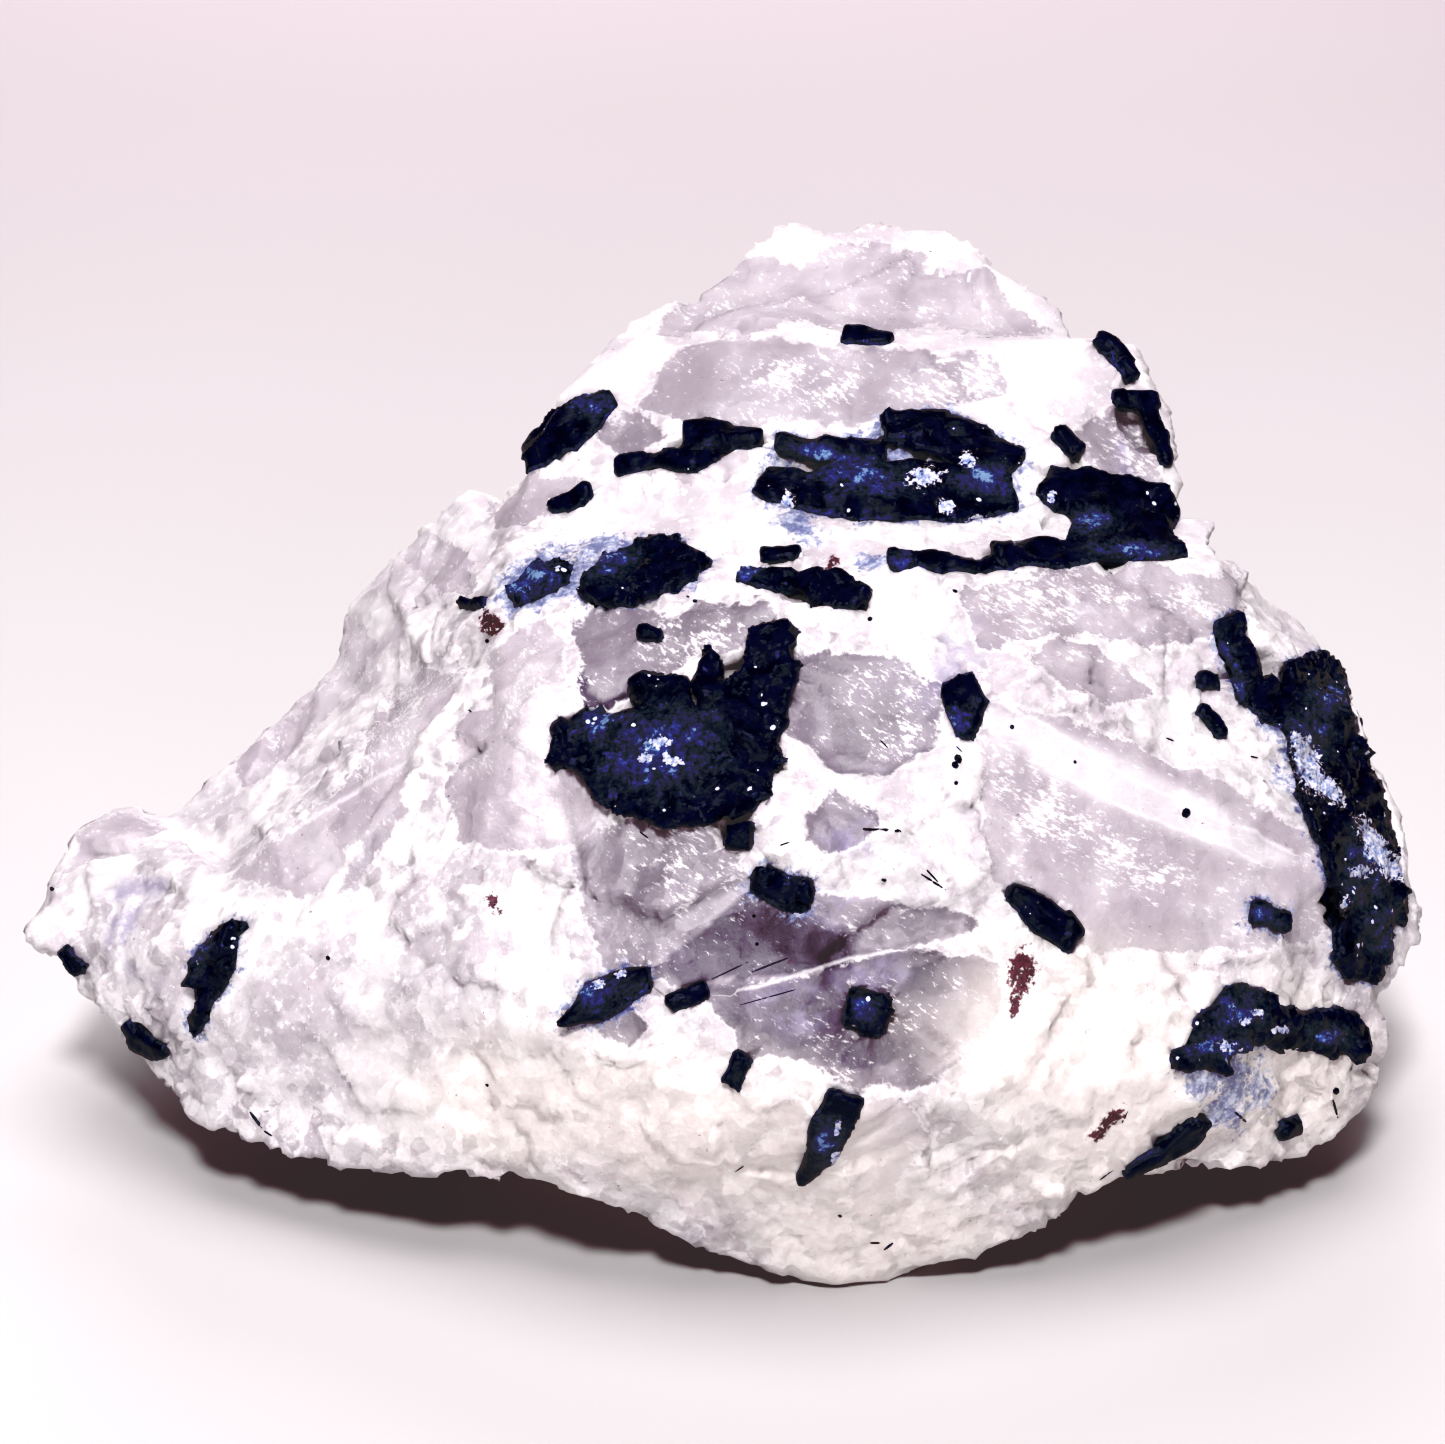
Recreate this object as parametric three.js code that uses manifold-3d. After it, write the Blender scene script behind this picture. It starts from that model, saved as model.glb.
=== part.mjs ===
// A hand specimen of tourmalinated quartz: one rough broken block of milky quartz, grown
// through by blue-black tourmaline crystals that lie open in its fracture faces.
//
// Millimetres, +Z up, -Y is the front. The stone rests on the flat fracture under it, and the
// origin is the middle of its bounding box's underside.
//
// Every corner is given as it is seen from one viewpoint, as [across, up, near]: across and up
// are measured in the upright picture plane through the stone's middle, and near is how far the
// point stands out of that plane towards the eye. The stone is the union of convex lumps that
// share those corners, then chipped by shallow conchoidal scars, then let in for each crystal.

import * as THREE from "three";
import { ConvexGeometry } from "three/addons/geometries/ConvexGeometry.js";
import { mergeVertices } from "three/addons/utils/BufferGeometryUtils.js";
import Module from "manifold-3d";

const wasm = await Module();
wasm.setup();

// Driving dimensions
const EYE_ELEVATION = THREE.MathUtils.degToRad(25);
const EYE_DISTANCE = 140; // from the eye to the picture plane
const REST_HEIGHT = -22.5; // of the resting face, measured from the picture's centre
const REST_CUT = 20; // thickness of the slab that planes the resting face flat
const STONE_REACH = 120; // more than the stone's size each way
const POCKET_GAP = 0.31; // clearance between a crystal and its pocket in the quartz
const MERGE = 1e-4; // corners closer than this are one corner
const SLIVER = 0.03; // chips thinner than this are left out
const STONE_SEED = 15; // which chips the stone has
const CRYSTAL_SEED = 23; // and how uneven its crystals are
const UPWARD = [0.12, 0.27, 0.95]; // a way up that lies in no face
const ASKEW = [0.3, 0.5, 0.8]; // a direction square to no face

// Looks of the two minerals
const QUARTZ_LOOK = { color: 0xe9e3e6, roughness: 0.55, metalness: 0 };
const TOURMALINE_LOOK = { color: 0x0c1026, roughness: 0.3, metalness: 0 };

// Corners of each lump of quartz. Neighbours reach into each other, so that no crack is left.
const LUMPS = {
  heart: [
    [-25, -10, -10], [-22, -15.5, -6], [-16, -17.5, -3], [-23.6, -6, -13], [-18, 0, -16], [-12, 7, -17],
    [-8, 11, -16], [-2, 16, -17], [12, 16, -17], [17.6, 13, -15], [19, 7.5, -12], [24.5, 2.5, -13],
    [27.6, -4, -12], [27.6, -9, -12], [25, -16, -9], [18, -18.6, -4], [5, -22.6, 0], [5, -15, 4],
    [13, -12, 2], [0, -2, 1], [10, -2, 1], [-8, 0, -3], [-14, -12, 0], [5, 5, -4], [-8, 4, -7],
    [15, 4, -6], [-10, -4, -22], [12, 0, -24],
  ],
  belly: [
    [-8, -20.2, 2.5], [0, -23.7, 0.8], [5, -25.1, 0.5], [11.5, -23.6, 0.6], [17, -20.9, 1.5],
    [-4, -15, 7.5], [5, -17, 8.5], [13, -15, 7], [-13, -11, 4], [17, -10.3, 4.6],
    [0, -3, 5.5], [10, -3, 5.5], [-9, 1, 1.5], [0, 5.3, 0.5], [9, 6.2, 0.5], [-10, 4.2, -3],
    [-14, 0, -14], [10, 4, -20], [-10, -12, -22], [14, -12, -22],
  ],
  rightBlock: [
    [10, -3, 5.5], [12, 0.3, 4.6], [27.2, -6.8, -0.5], [27.3, -10.2, -0.2], [14, -10.3, 5.3], [9, -8, 5],
    [9, 6.3, 0.6], [21.6, 7.2, -4.2], [25, 1, -4.5], [28.6, 1, -8.5], [28.4, -1.2, -7],
    [30.4, -5.6, -7], [31.4, -8.6, -8], [29.6, -12, -4.5],
    [26, 0, -16], [28.5, -8, -17], [20, 5, -20], [25, -12, -16], [4, -2, -6],
  ],
  lowerRight: [
    [14.5, -10, 5], [27, -10.4, -0.9], [29.6, -13.5, -4], [28.8, -17.1, -5], [26.1, -19.5, -4],
    [21, -20, -0.5], [17, -20.8, 1.8], [13, -16, 6.6], [22, -15, 3.4],
    [27, -11, -14], [22, -13, -16], [8, -14, -12], [25, -7, -4], [12, -7, 1],
  ],
  knob: [
    [-8.9, 12.2, -11], [-8.8, 9, -8.6], [-3, 11.2, -7.4], [1.8, 9, -5.2], [8, 8, -4], [14, 7.8, -4.8],
    [20.6, 8, -7.2], [-5.4, 15.8, -12], [-4.7, 17.6, -14], [3, 17, -10.5], [12, 17, -10.5],
    [18.5, 17, -12.5], [20, 14.3, -12], [-2.5, 18.8, -15.5], [-8, 9, -18], [-3, 13, -22],
    [8, 14, -23.5], [17.4, 14, -20], [17, 8, -20], [4, -2, -12],
  ],
  summit: [
    [-2.5, 18.6, -15.5], [0.3, 20.5, -17], [2, 21.7, -18], [7, 22.1, -17], [9.7, 22, -16.5],
    [12, 20.3, -15.5], [15.2, 18.3, -14.5], [-3, 16, -13.6], [4, 16, -11], [11, 15.5, -11.6],
    [16, 16, -13.5], [0, 11, -20], [5, 17, -22], [13, 15, -20.5], [6, 4, -16],
  ],
  whiteLedge: [
    [-10, 4.7, -3.4], [-3, 5.3, -0.9], [3, 5.7, 0.1], [9, 6.6, 0.2], [9, 8.8, -4.4],
    [-11.4, 8.6, -11], [-8.8, 10.8, -11], [0, 11.6, -9], [2, 9.6, -6.4], [0, 0, -15], [-12, 0, -14],
    [-8, 1.6, -2.6], [0, 2, -0.6], [9, 3, -0.6],
  ],
  stripLedge: [
    [6, 6.4, 0], [13, 7, -1.4], [21.6, 7.3, -4.6], [21.8, 8.9, -8], [8, 9, -5], [10, 2, -14], [20, 2, -14],
    [9, 3.6, -1], [20, 4.6, -5.6],
  ],
  leftWing: [
    [-31.5, -9.4, -7.5], [-28.7, -12.5, -6.6], [-26, -15.2, -5.6], [-24.8, -16.9, -5],
    [-21.2, -18.6, -2.6], [-19.9, -19.8, -2], [-14, -20, 0.4], [-6, -20.9, 2], [-24, -9, -2.8],
    [-21.3, -8.2, -1.6], [-22, -15, -1.4], [-12, -12, 3.8],
    [-29.9, -6.9, -9], [-28.5, -4.5, -11], [-26.4, -3.5, -13], [-23.5, -5, -10],
    [-27, -6, -16], [-22, -6, -20], [-24, -10, -16], [-17, -12, -18], [-10, -8, -8],
  ],
  leftSlope: [
    [-22, -7.6, -3.4], [-17, -3, -3.6], [-12, 2.4, -4], [-13, -10.6, 3.6], [-8, 1, 1],
    [-23, -6.4, -10], [-14, 3.4, -12], [-12, -10, -18], [-18, -10, -6], [-4, 0, -12],
    [-21, -10.5, -4], [-17.4, -11.6, 0.9], [-13, -14.5, 2],
  ],
  leftRidge: [
    [-17.4, 2.2, -14.5], [-16.8, 5.3, -16], [-14.2, 8.2, -15.5], [-11.4, 10.5, -14.5], [-9.6, 9.8, -12.5],
    [-12.6, 2.6, -6.6], [-11, 4, -23], [-5, 7, -22], [-8, -6, -10], [-7, 5, -10], [-10.4, 7.4, -9.4],
    [-11.4, 4.4, -6], [-15, -2, -8], [-15, -1, -20],
  ],
  leftFlank: [
    [-24.8, -4.3, -12], [-22.4, -2.6, -13.5], [-19, 0.6, -14], [-17, 2.8, -14.6], [-18.5, -4.4, -6.5],
    [-18, -3, -22], [-8, -6, -10], [-25, -8, -10], [-20, -9, -8], [-13, 1, -9], [-12, 1, -18],
  ],
  leftNook: [
    [-13.4, 3, -7], [-10, 4.4, -3.6], [-11.2, 8.6, -11], [-15, 6, -13], [-9, 9, -9.5], [-12, -2, -5],
    [-5, 4, -10], [-12, 9, -14],
  ],
  rightShoulder: [
    [21.7, 7.1, -5], [23.5, 6, -8], [25.9, 4.8, -10], [27.6, 2.9, -9.5], [28.7, 0.9, -9],
    [22, 2, -4], [25, 0, -4.6], [19, 3, -18], [26, -1, -16], [14, 2, -8],
  ],
};

// The stone's hidden side: corners as [x, y, z]
const BACK = [
  [-24, 12, -9.5], [-17, 17, -2], [-7, 25, 4], [7, 27, 7], [15, 25, 5], [20, 18, 3], [24, 12, -2],
  [25, 14, -10], [21, 18, -16], [12, 24, -17], [-5, 24, -18], [-16, 18, -17], [-20, 8, -16],
  [21, 4, -18], [0, 0, -6], [-8, -2, -20], [10, -4, -20],
];

// Its belly, as [x, y, z]
const UNDER = [
  [-21, 1, -16.5], [-14, -6, -17], [-7, -9, -16.8], [4, -10.4, -20.5], [14, -8, -18],
  [24, -3, -18.6], [26, 4, -16], [22, 11, -17], [11, 19, -20], [-8, 19, -20], [-19, 9, -17],
  [-18, 0, -8], [18, -2, -8], [20, 8, -8], [-14, 10, -8],
];

// Corners of the resting face, as [x, y]
const FOOT = [
  [0, -7], [3.4, -9.4], [6.8, -9.4], [10.4, -7], [16, -1], [19, 5], [14, 15], [4, 18], [-10, 15],
  [-15, 7], [-10, 1],
];
const FOOT_MIDDLE = [1, 4]; // the foot widens from here on its way up
const FOOT_FLARE = 1.14; // by this
const FOOT_TOP = -16.5; // to this height, inside the stone

// Conchoidal scars, so much area to each: wide flat flakes off the faces
const FACE_SCARS = { spacing: 60, radius: [26, 80], depth: [0.25, 0.6], edge: 4.8 };
// and chips off the ridges, so much length to each
const RIDGE_SCARS = { spacing: 5, radius: [8, 32], depth: [0.15, 0.5], edge: 2.8 };
const RIDGE_ANGLE = THREE.MathUtils.degToRad(22); // least bend that counts as a ridge
const SCAR_LID = 0.5; // how far a flake's cut reaches above the face it leaves
const SCAR_RINGS = 3; // rings of places under it where the way out must be clear
const SCAR_RIM = 12; // places on each ring
const ICOSAHEDRON_EDGE = 1.05; // as a share of its radius

// Faces that broke flat: no scar starts within reach of their middle
const FLAT_FACES = [{ middle: [20, -5.5, 2.4], reach: 7 }];
const REST_RIM = 2.5; // height over the resting face where none starts either

// Hollows left by larger flakes: [across, up] of the middle
const HOLLOWS = [
  { middle: [1.2, -9.2], radius: 24, depth: 0.5 },
  { middle: [5.6, -10.6], radius: 17, depth: 0.7 },
];

// Crystals: strands of [across, up, width] as seen, from one end to the other
const FRONT_CRYSTALS = {
  crystal_upper_left: [[[-8.7, 11.6, 1.6], [-6.9, 13, 2.6], [-4.9, 14.4, 1.3]]],
  crystal_hook: [[[-7.6, 9.4, 0.6], [-6.6, 9.7, 0.7], [-5.9, 10.2, 0.7]]],
  crystal_upper_rod: [
    [[-1.7, 12.5, 1.9], [0, 12.6, 1.4], [1.7, 12.5, 0.8]],
    [[-4.6, 11.4, 0.8], [-3.2, 11.6, 0.9], [-1.3, 11.7, 1.3], [-0.4, 12.1, 1]],
  ],
  crystal_long_band: [
    [[2.5, 12.3, 1], [7, 11.8, 1.2]],
    [[1.6, 10.7, 1.5], [3.7, 10.2, 2.4], [7, 10.1, 3.1], [10.6, 10.2, 2.9], [12.8, 10.4, 2.2]],
    [[7.2, 13.1, 1.8], [10.1, 12.7, 2.5], [12.9, 11.3, 2.2]],
  ],
  crystal_right_band: [
    [[14.3, 10.6, 1.9], [15.8, 10, 3.2], [17.7, 9.5, 3.2], [19.7, 9.3, 2.6], [20.9, 9.3, 0.7]],
    [[16.5, 10, 2.2], [16.6, 7.7, 2.6]],
    [[18.9, 9.6, 2.4], [19, 7.8, 2.6]],
    [[12.1, 7.4, 1.3], [14.5, 7.4, 1.5], [17, 7.7, 1.5], [20.2, 7.7, 1.5]],
    [[7.4, 7.1, 0.8], [9.6, 6.9, 0.7], [12.8, 7, 0.7]],
  ],
  crystal_small_window: [[[14.8, 12.8, 0.9], [15.8, 11.9, 1]]],
  crystal_top_edge: [[[16.6, 17, 0.9], [17.4, 16.4, 1.3], [18.2, 15.2, 0.9]]],
  crystal_right_edge: [[[17.4, 14.4, 0.7], [18.8, 14.2, 1.3], [19.4, 12.6, 0.9], [19.6, 11.4, 0.5]]],
  crystal_summit: [[[5.3, 17.2, 1], [6.2, 17.1, 1.1], [7.4, 16.9, 0.4]]],
  crystal_blue_left: [[[-9.2, 5.5, 1.3], [-8, 6.2, 1.9], [-6.9, 7.1, 1.1]]],
  crystal_granular: [[[-6, 5.5, 1.4], [-4.3, 6.4, 2.9], [-2.6, 7, 3.2], [-1.4, 6.5, 2.2]]],
  crystal_left_tips: [[[-11.5, 5.2, 0.5], [-10.4, 5.2, 0.7]]],
  crystal_bead_row: [[[1.7, 7.4, 0.55], [3.3, 7.4, 0.55]]],
  crystal_mid_pair: [[[0.8, 6.5, 0.8], [2.3, 6.3, 1.1], [3.7, 6.2, 1.1], [5, 5.8, 1.9], [6.2, 5.4, 1.2]]],
  crystal_bead: [[[-3.5, 4, 0.6], [-2.7, 3.9, 0.6]]],
  crystal_heart: [
    [[-5.9, -0.8, 2.9], [-4.4, -1.6, 5.2], [-2, -2, 5.9], [0.2, -1.8, 5.2], [1.8, -0.6, 3]],
    [[-7.6, -2, 0.5], [-7, -0.8, 1.9], [-5.2, -0.6, 2.8]],
    [[-4.1, 1.3, 1], [-3.2, 1.5, 1.5], [-2.2, 1.3, 1.5], [-1.9, -0.2, 1.8]],
    [[-0.65, 3.5, 0.4], [-0.5, 2.3, 1], [-0.2, 0, 1.7]],
    [[2.1, 4.2, 2.2], [2.3, 2.6, 2.2], [1.4, 0.8, 3.2], [0.6, -0.8, 4]],
  ],
  crystal_granule: [[[0.1, -5.1, 1.1], [1.2, -5.1, 1.1]]],
  crystal_blade_window: [[[10.2, 1.9, 1.2], [10.9, 0.75, 2.2], [10.7, -0.7, 0.7]]],
  crystal_oval: [[[1.5, -7, 1.2], [2.5, -7.4, 1.6], [3.5, -7.8, 1.1]]],
  crystal_blue_fan: [
    [[-7.1, -13.4, 0.4], [-6.3, -13, 1], [-5.6, -12.3, 1.9], [-4.5, -11.9, 1.7], [-3.1, -11.4, 0.9]],
  ],
  crystal_black_chip: [[[-2.3, -12.5, 0.8], [-0.7, -11.8, 0.9]]],
  crystal_hexagon: [[[5.6, -12.6, 1.9], [7.2, -12.9, 1.8]]],
  crystal_short_rod: [[[0.3, -16.1, 1], [1, -14.8, 1]]],
  crystal_lower_rod: [[[3.6, -20.3, 0.4], [4.3, -19.2, 1.2], [4.9, -17.8, 1.7], [5.4, -16.5, 1.5]]],
  crystal_diagonal: [[[12.7, -7.5, 0.9], [14.1, -8.5, 1.7], [15.6, -9.7, 1.2]]],
  crystal_right_flank: [
    [
      [27, 2.5, 1.6], [26.5, 0.8, 5.2], [26.6, -0.9, 5.3], [27.6, -3.9, 5], [28.4, -6.2, 4.8],
      [28.8, -7.9, 4.2], [28.4, -9.9, 3.7], [28.2, -11.3, 2.2],
    ],
    [[22.2, 4.6, 1.3], [22.7, 3.2, 1.5], [23.6, 1.4, 1.8], [25.2, 0.2, 1.8], [26.4, -0.4, 1.8]],
  ],
  crystal_small_right: [[[21.1, 1.8, 0.7], [21.9, 1.7, 0.8]]],
  crystal_comma: [[[21.1, 0.5, 0.5], [21.7, 0, 0.6], [22, -0.7, 0.5]]],
  crystal_bluish_window: [[[23.5, -8.4, 1], [24.9, -8.9, 1.1]]],
  crystal_lower_right: [
    [[21.2, -14.1, 1.4], [22.8, -12.9, 3.1], [24.4, -13.2, 2.2]],
    [[24, -13.4, 1.7], [26.4, -13.7, 1.7], [28.3, -14, 1.9]],
    [[20, -15, 0.7], [22.4, -14.6, 1.6]],
  ],
  crystal_bottom_streak: [[[17.9, -20, 0.5], [19.4, -19.1, 0.8], [20.6, -18.2, 1.3], [21.3, -17.5, 1]]],
  crystal_triangle: [[[24.6, -18.2, 0.7], [25.5, -17.8, 1.1]]],
  crystal_left_blade: [
    [[-23.4, -13.8, 0.7], [-23.2, -12.6, 1], [-22.8, -11.2, 2.1], [-22.2, -9.9, 1.6], [-21.4, -8.9, 0.6]],
  ],
  crystal_left_tip: [[[-29.2, -10.1, 0.6], [-28.4, -11, 0.6]]],
  crystal_left_edge: [[[-26.9, -13.5, 0.6], [-25.9, -14.2, 1.1], [-24.6, -14.6, 0.7]]],
};

// The same for the sides that face away, each seen from a viewpoint that many degrees round
const HIDDEN_CRYSTALS = {
  90: {
    crystal_right_rear: [[[15.5, -8, 1], [18, -10, 1.8], [20.5, -11, 1]]],
    crystal_right_low: [[[12, -20.6, 0.9], [15, -21.2, 1.4], [18, -20.6, 0.7]]],
  },
  180: {
    crystal_back_rod: [[[-8, -6, 1.2], [-3, -8, 2.2], [4, -9.5, 1.5]]],
    crystal_back_blade: [[[9, -12, 1], [11, -16, 1.6], [12, -19, 0.8]]],
    crystal_back_upper: [[[-10, -0.6, 1], [-6, 0, 1.6], [-3, -0.4, 0.8]]],
    crystal_back_spray: [[[1, -16, 0.8], [4, -18, 1.4], [7, -19, 0.9]]],
    crystal_back_grain: [[[-12, -14, 0.8], [-10.6, -15, 1]]],
  },
  270: {
    crystal_left_rear: [[[-20, -15, 1], [-18, -16.4, 1.6], [-16, -17, 0.8]]],
    crystal_left_low: [[[-16.4, -21.4, 0.9], [-14.4, -22, 1.4]]],
  },
};

// The corners of a crystal's section: shares of its width across, of its rise and of its root
const SECTION = {
  left: [-0.5, 0, 0.1],
  upperLeft: [-0.24, 1, 0],
  upperRight: [0.3, 1, 0],
  right: [0.5, 0, 0],
  root: [0.04, 0, -1],
};
const UNEVEN = [0.88, 1.06]; // how much each corner strays across
const NUB_SIZE = 0.8; // of the nub on a length's end, as a share of the end
const NUB_REACH = 0.15; // how far it goes into the next length
const RISE = [0.15, 0.45]; // how far it stands out of the quartz
const ROOT = [0.5, 0.55]; // how deep it goes: at least this, and this share of its width more
const FORESHORTENING = 0.65; // least share of its width that shows on a slanting face
const POCKET_MOUTH = 1.6; // how far its pocket opens above it
const POCKET_BLOCK = 4; // how many gaps more than the crystal the block for a pocket measures
const SAME_PLANE = 0.005; // planes that differ less, in radians and millimetres, are one
const NORMAL_REACH = 0.7; // how far round a place the slant of the surface is taken
const NORMAL_PLACES = [[0, 0], [1, 0], [-1, 0], [0, 1], [0, -1]];
const EDGE_STEPS = [1, 0.985, 0.97, 0.955, 0.94, 0.92, 0.9]; // shares tried of the way out to a place

// A repeatable stream of numbers between 0 and 1
function numbersFrom(seed) {
  let state = seed >>> 0;
  return () => {
    state = (state + 0x6d2b79f5) >>> 0;
    let t = Math.imul(state ^ (state >>> 15), 1 | state);
    t = (t + Math.imul(t ^ (t >>> 7), 61 | t)) ^ t;
    return ((t ^ (t >>> 14)) >>> 0) / 4294967296;
  };
}

const between = (random, [low, high]) => low + (high - low) * random();

// The upright picture plane's axes for a viewpoint that has walked round the stone by azimuth
function viewAxes(azimuth = 0) {
  const turn = new THREE.Matrix4().makeRotationZ(THREE.MathUtils.degToRad(azimuth));
  const sin = Math.sin(EYE_ELEVATION);
  const cos = Math.cos(EYE_ELEVATION);
  return {
    across: new THREE.Vector3(1, 0, 0).applyMatrix4(turn),
    up: new THREE.Vector3(0, sin, cos).applyMatrix4(turn),
    near: new THREE.Vector3(0, -cos, sin).applyMatrix4(turn),
  };
}

const FRONT = viewAxes();

// The point seen at [across, up] from the viewpoint, standing out of the picture plane by near
function seen([across, up, near], view = FRONT) {
  const shrink = 1 - near / EYE_DISTANCE;
  return new THREE.Vector3()
    .addScaledVector(view.across, across * shrink)
    .addScaledVector(view.up, up * shrink)
    .addScaledVector(view.near, near);
}

// A closed geometry as a solid, and back
function solidFrom(geometry) {
  const bare = new THREE.BufferGeometry();
  bare.setAttribute("position", geometry.getAttribute("position"));
  if (geometry.index) bare.setIndex(geometry.index);
  const merged = mergeVertices(bare, MERGE);
  return new wasm.Manifold(
    new wasm.Mesh({
      numProp: 3,
      vertProperties: merged.attributes.position.array,
      triVerts: new Uint32Array(merged.index.array),
    }),
  );
}

function geometryFrom(solid) {
  const { vertProperties, triVerts } = solid.getMesh();
  const geometry = new THREE.BufferGeometry();
  geometry.setAttribute("position", new THREE.BufferAttribute(new Float32Array(vertProperties), 3));
  geometry.setIndex(new THREE.BufferAttribute(new Uint32Array(triVerts), 1));
  return geometry;
}

const hull = (points) => solidFrom(new ConvexGeometry(points));
const joined = (solids) => solids.reduce((all, one) => all.add(one));

function largest(solid) {
  return solid.decompose().reduce((a, b) => (b.volume() > a.volume() ? b : a));
}

// The convex lumps, the hidden side and the foot
function unbrokenBlock() {
  const lumps = Object.values(LUMPS).map((corners) => corners.map((corner) => seen(corner)));
  const hidden = [BACK, UNDER].map((corners) => corners.map((corner) => new THREE.Vector3(...corner)));
  return joined([...lumps.map(hull), ...hidden.map(hull), foot()]);
}

function foot() {
  const ring = (scale, height) =>
    FOOT.map(([x, y]) => {
      const middle = new THREE.Vector3(...FOOT_MIDDLE, height);
      return middle.lerp(new THREE.Vector3(x, y, height), scale);
    });
  const rim = ring(1, REST_HEIGHT);
  const below = ring(1, REST_HEIGHT - REST_CUT / 2);
  return hull([...rim, ...below, ...ring(FOOT_FLARE, FOOT_TOP)]);
}

// Everything under the resting face
function underRest() {
  const slab = new THREE.BoxGeometry(STONE_REACH, STONE_REACH, REST_CUT);
  slab.translate(0, 0, REST_HEIGHT - REST_CUT / 2);
  return solidFrom(slab);
}

// The faces of a solid, each with its corners' numbers
function facesOf(solid) {
  const geometry = geometryFrom(solid);
  const position = geometry.getAttribute("position");
  const corner = (i) => new THREE.Vector3().fromBufferAttribute(position, i);
  return Array.from({ length: geometry.index.count / 3 }, (_, i) => {
    const ids = [0, 1, 2].map((k) => geometry.index.getX(3 * i + k));
    const face = new THREE.Triangle(...ids.map(corner));
    return { ids, face, normal: face.getNormal(new THREE.Vector3()) };
  });
}

// Picks from a list as often as each one's size is great
function picker(items, sizeOf, random) {
  let total = 0;
  const marks = items.map((item) => (total += sizeOf(item)));
  return {
    total,
    pick: () => {
      const at = random() * total;
      return items[marks.findIndex((mark) => mark >= at)];
    },
  };
}

// Places spread evenly by area over a solid's faces
function facePlaces(solid, spacing, random) {
  const { total, pick } = picker(facesOf(solid), ({ face }) => face.getArea(), random);
  return Array.from({ length: Math.round(total / spacing) }, () => {
    const { face, normal } = pick();
    const u = Math.sqrt(random());
    const v = random();
    const point = new THREE.Vector3()
      .addScaledVector(face.a, 1 - u)
      .addScaledVector(face.b, u * (1 - v))
      .addScaledVector(face.c, u * v);
    return { point, normal };
  });
}

// The outward bends of a solid that are sharp enough to count as ridges
function ridgesOf(solid) {
  const sides = new Map();
  const ridges = [];
  for (const { ids, face, normal } of facesOf(solid)) {
    const corners = [face.a, face.b, face.c];
    ids.forEach((id, k) => {
      const next = (k + 1) % 3;
      const other = sides.get(`${ids[next]}/${id}`);
      const side = { from: corners[k], to: corners[next], apex: corners[(k + 2) % 3], normal };
      sides.set(`${id}/${ids[next]}`, side);
      if (!other || other.normal.angleTo(normal) < RIDGE_ANGLE) return;
      const outward = other.apex.clone().sub(side.from).dot(normal) < 0;
      if (outward) ridges.push({ ...side, normal: normal.clone().add(other.normal).normalize() });
    });
  }
  return ridges;
}

// Places spread evenly by length along a solid's ridges
function ridgePlaces(solid, spacing, random) {
  const { total, pick } = picker(ridgesOf(solid), ({ from, to }) => from.distanceTo(to), random);
  return Array.from({ length: Math.round(total / spacing) }, () => {
    const { from, to, normal } = pick();
    return { point: from.clone().lerp(to, random()), normal };
  });
}

// Looks along rays at a solid
function sighter(solid) {
  const bothSides = new THREE.MeshBasicMaterial({ side: THREE.DoubleSide });
  const target = new THREE.Mesh(geometryFrom(solid), bothSides);
  const caster = new THREE.Raycaster();
  return (from, direction) => {
    caster.set(from, direction);
    return caster.intersectObject(target);
  };
}

// Two directions square to a third
function squareTo(normal) {
  const first = new THREE.Vector3(...ASKEW).cross(normal).normalize();
  return [first, normal.clone().cross(first)];
}

// Whether a flake could leave this place: nothing of the stone stands over its rim or nearer in
function isClear({ point, normal }, rim, sight) {
  const [first, second] = squareTo(normal);
  const upward = new THREE.Vector3(...UPWARD).normalize();
  const stops = Array.from({ length: SCAR_RINGS * SCAR_RIM }, (_, i) => ({
    turn: (i / SCAR_RIM) * 2 * Math.PI,
    out: (rim * (1 + Math.floor(i / SCAR_RIM))) / SCAR_RINGS,
  }));
  return stops.every(({ turn, out }) => {
    const place = point
      .clone()
      .addScaledVector(normal, SCAR_LID)
      .addScaledVector(first, out * Math.cos(turn))
      .addScaledVector(second, out * Math.sin(turn));
    return sight(place, upward).length % 2 === 0;
  });
}

// Faces kept whole: the flat ones and the rim of the resting face
function isKept({ point }) {
  const isFlat = ({ middle, reach }) => seen(middle).distanceTo(point) < reach;
  return point.z < REST_HEIGHT + REST_RIM || FLAT_FACES.some(isFlat);
}

// The slice of a ball that a scar takes away
function flake({ point, normal }, size, depth, edge, random) {
  const cuts = Math.round((ICOSAHEDRON_EDGE * size) / edge) - 1;
  const ball = new THREE.IcosahedronGeometry(size, cuts);
  ball.rotateX(random() * Math.PI);
  ball.rotateZ(random() * Math.PI);
  const centre = point.clone().addScaledVector(normal, size - depth);
  ball.translate(centre.x, centre.y, centre.z);
  const inward = normal.clone().negate();
  return solidFrom(ball).trimByPlane(inward.toArray(), inward.dot(point) - SCAR_LID);
}

// Shallow spherical bites that meet in sharp edges, as broken quartz has
function scarred(solid, places, { radius, depth, edge }, random) {
  const sight = sighter(solid);
  let left = solid;
  for (const place of places) {
    const size = between(random, radius);
    const sink = between(random, depth);
    const rim = Math.sqrt(2 * size * (sink + SCAR_LID));
    if (isKept(place) || !isClear(place, rim, sight)) continue;
    left = left.subtract(flake(place, size, sink, edge, random));
  }
  return left;
}

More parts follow.
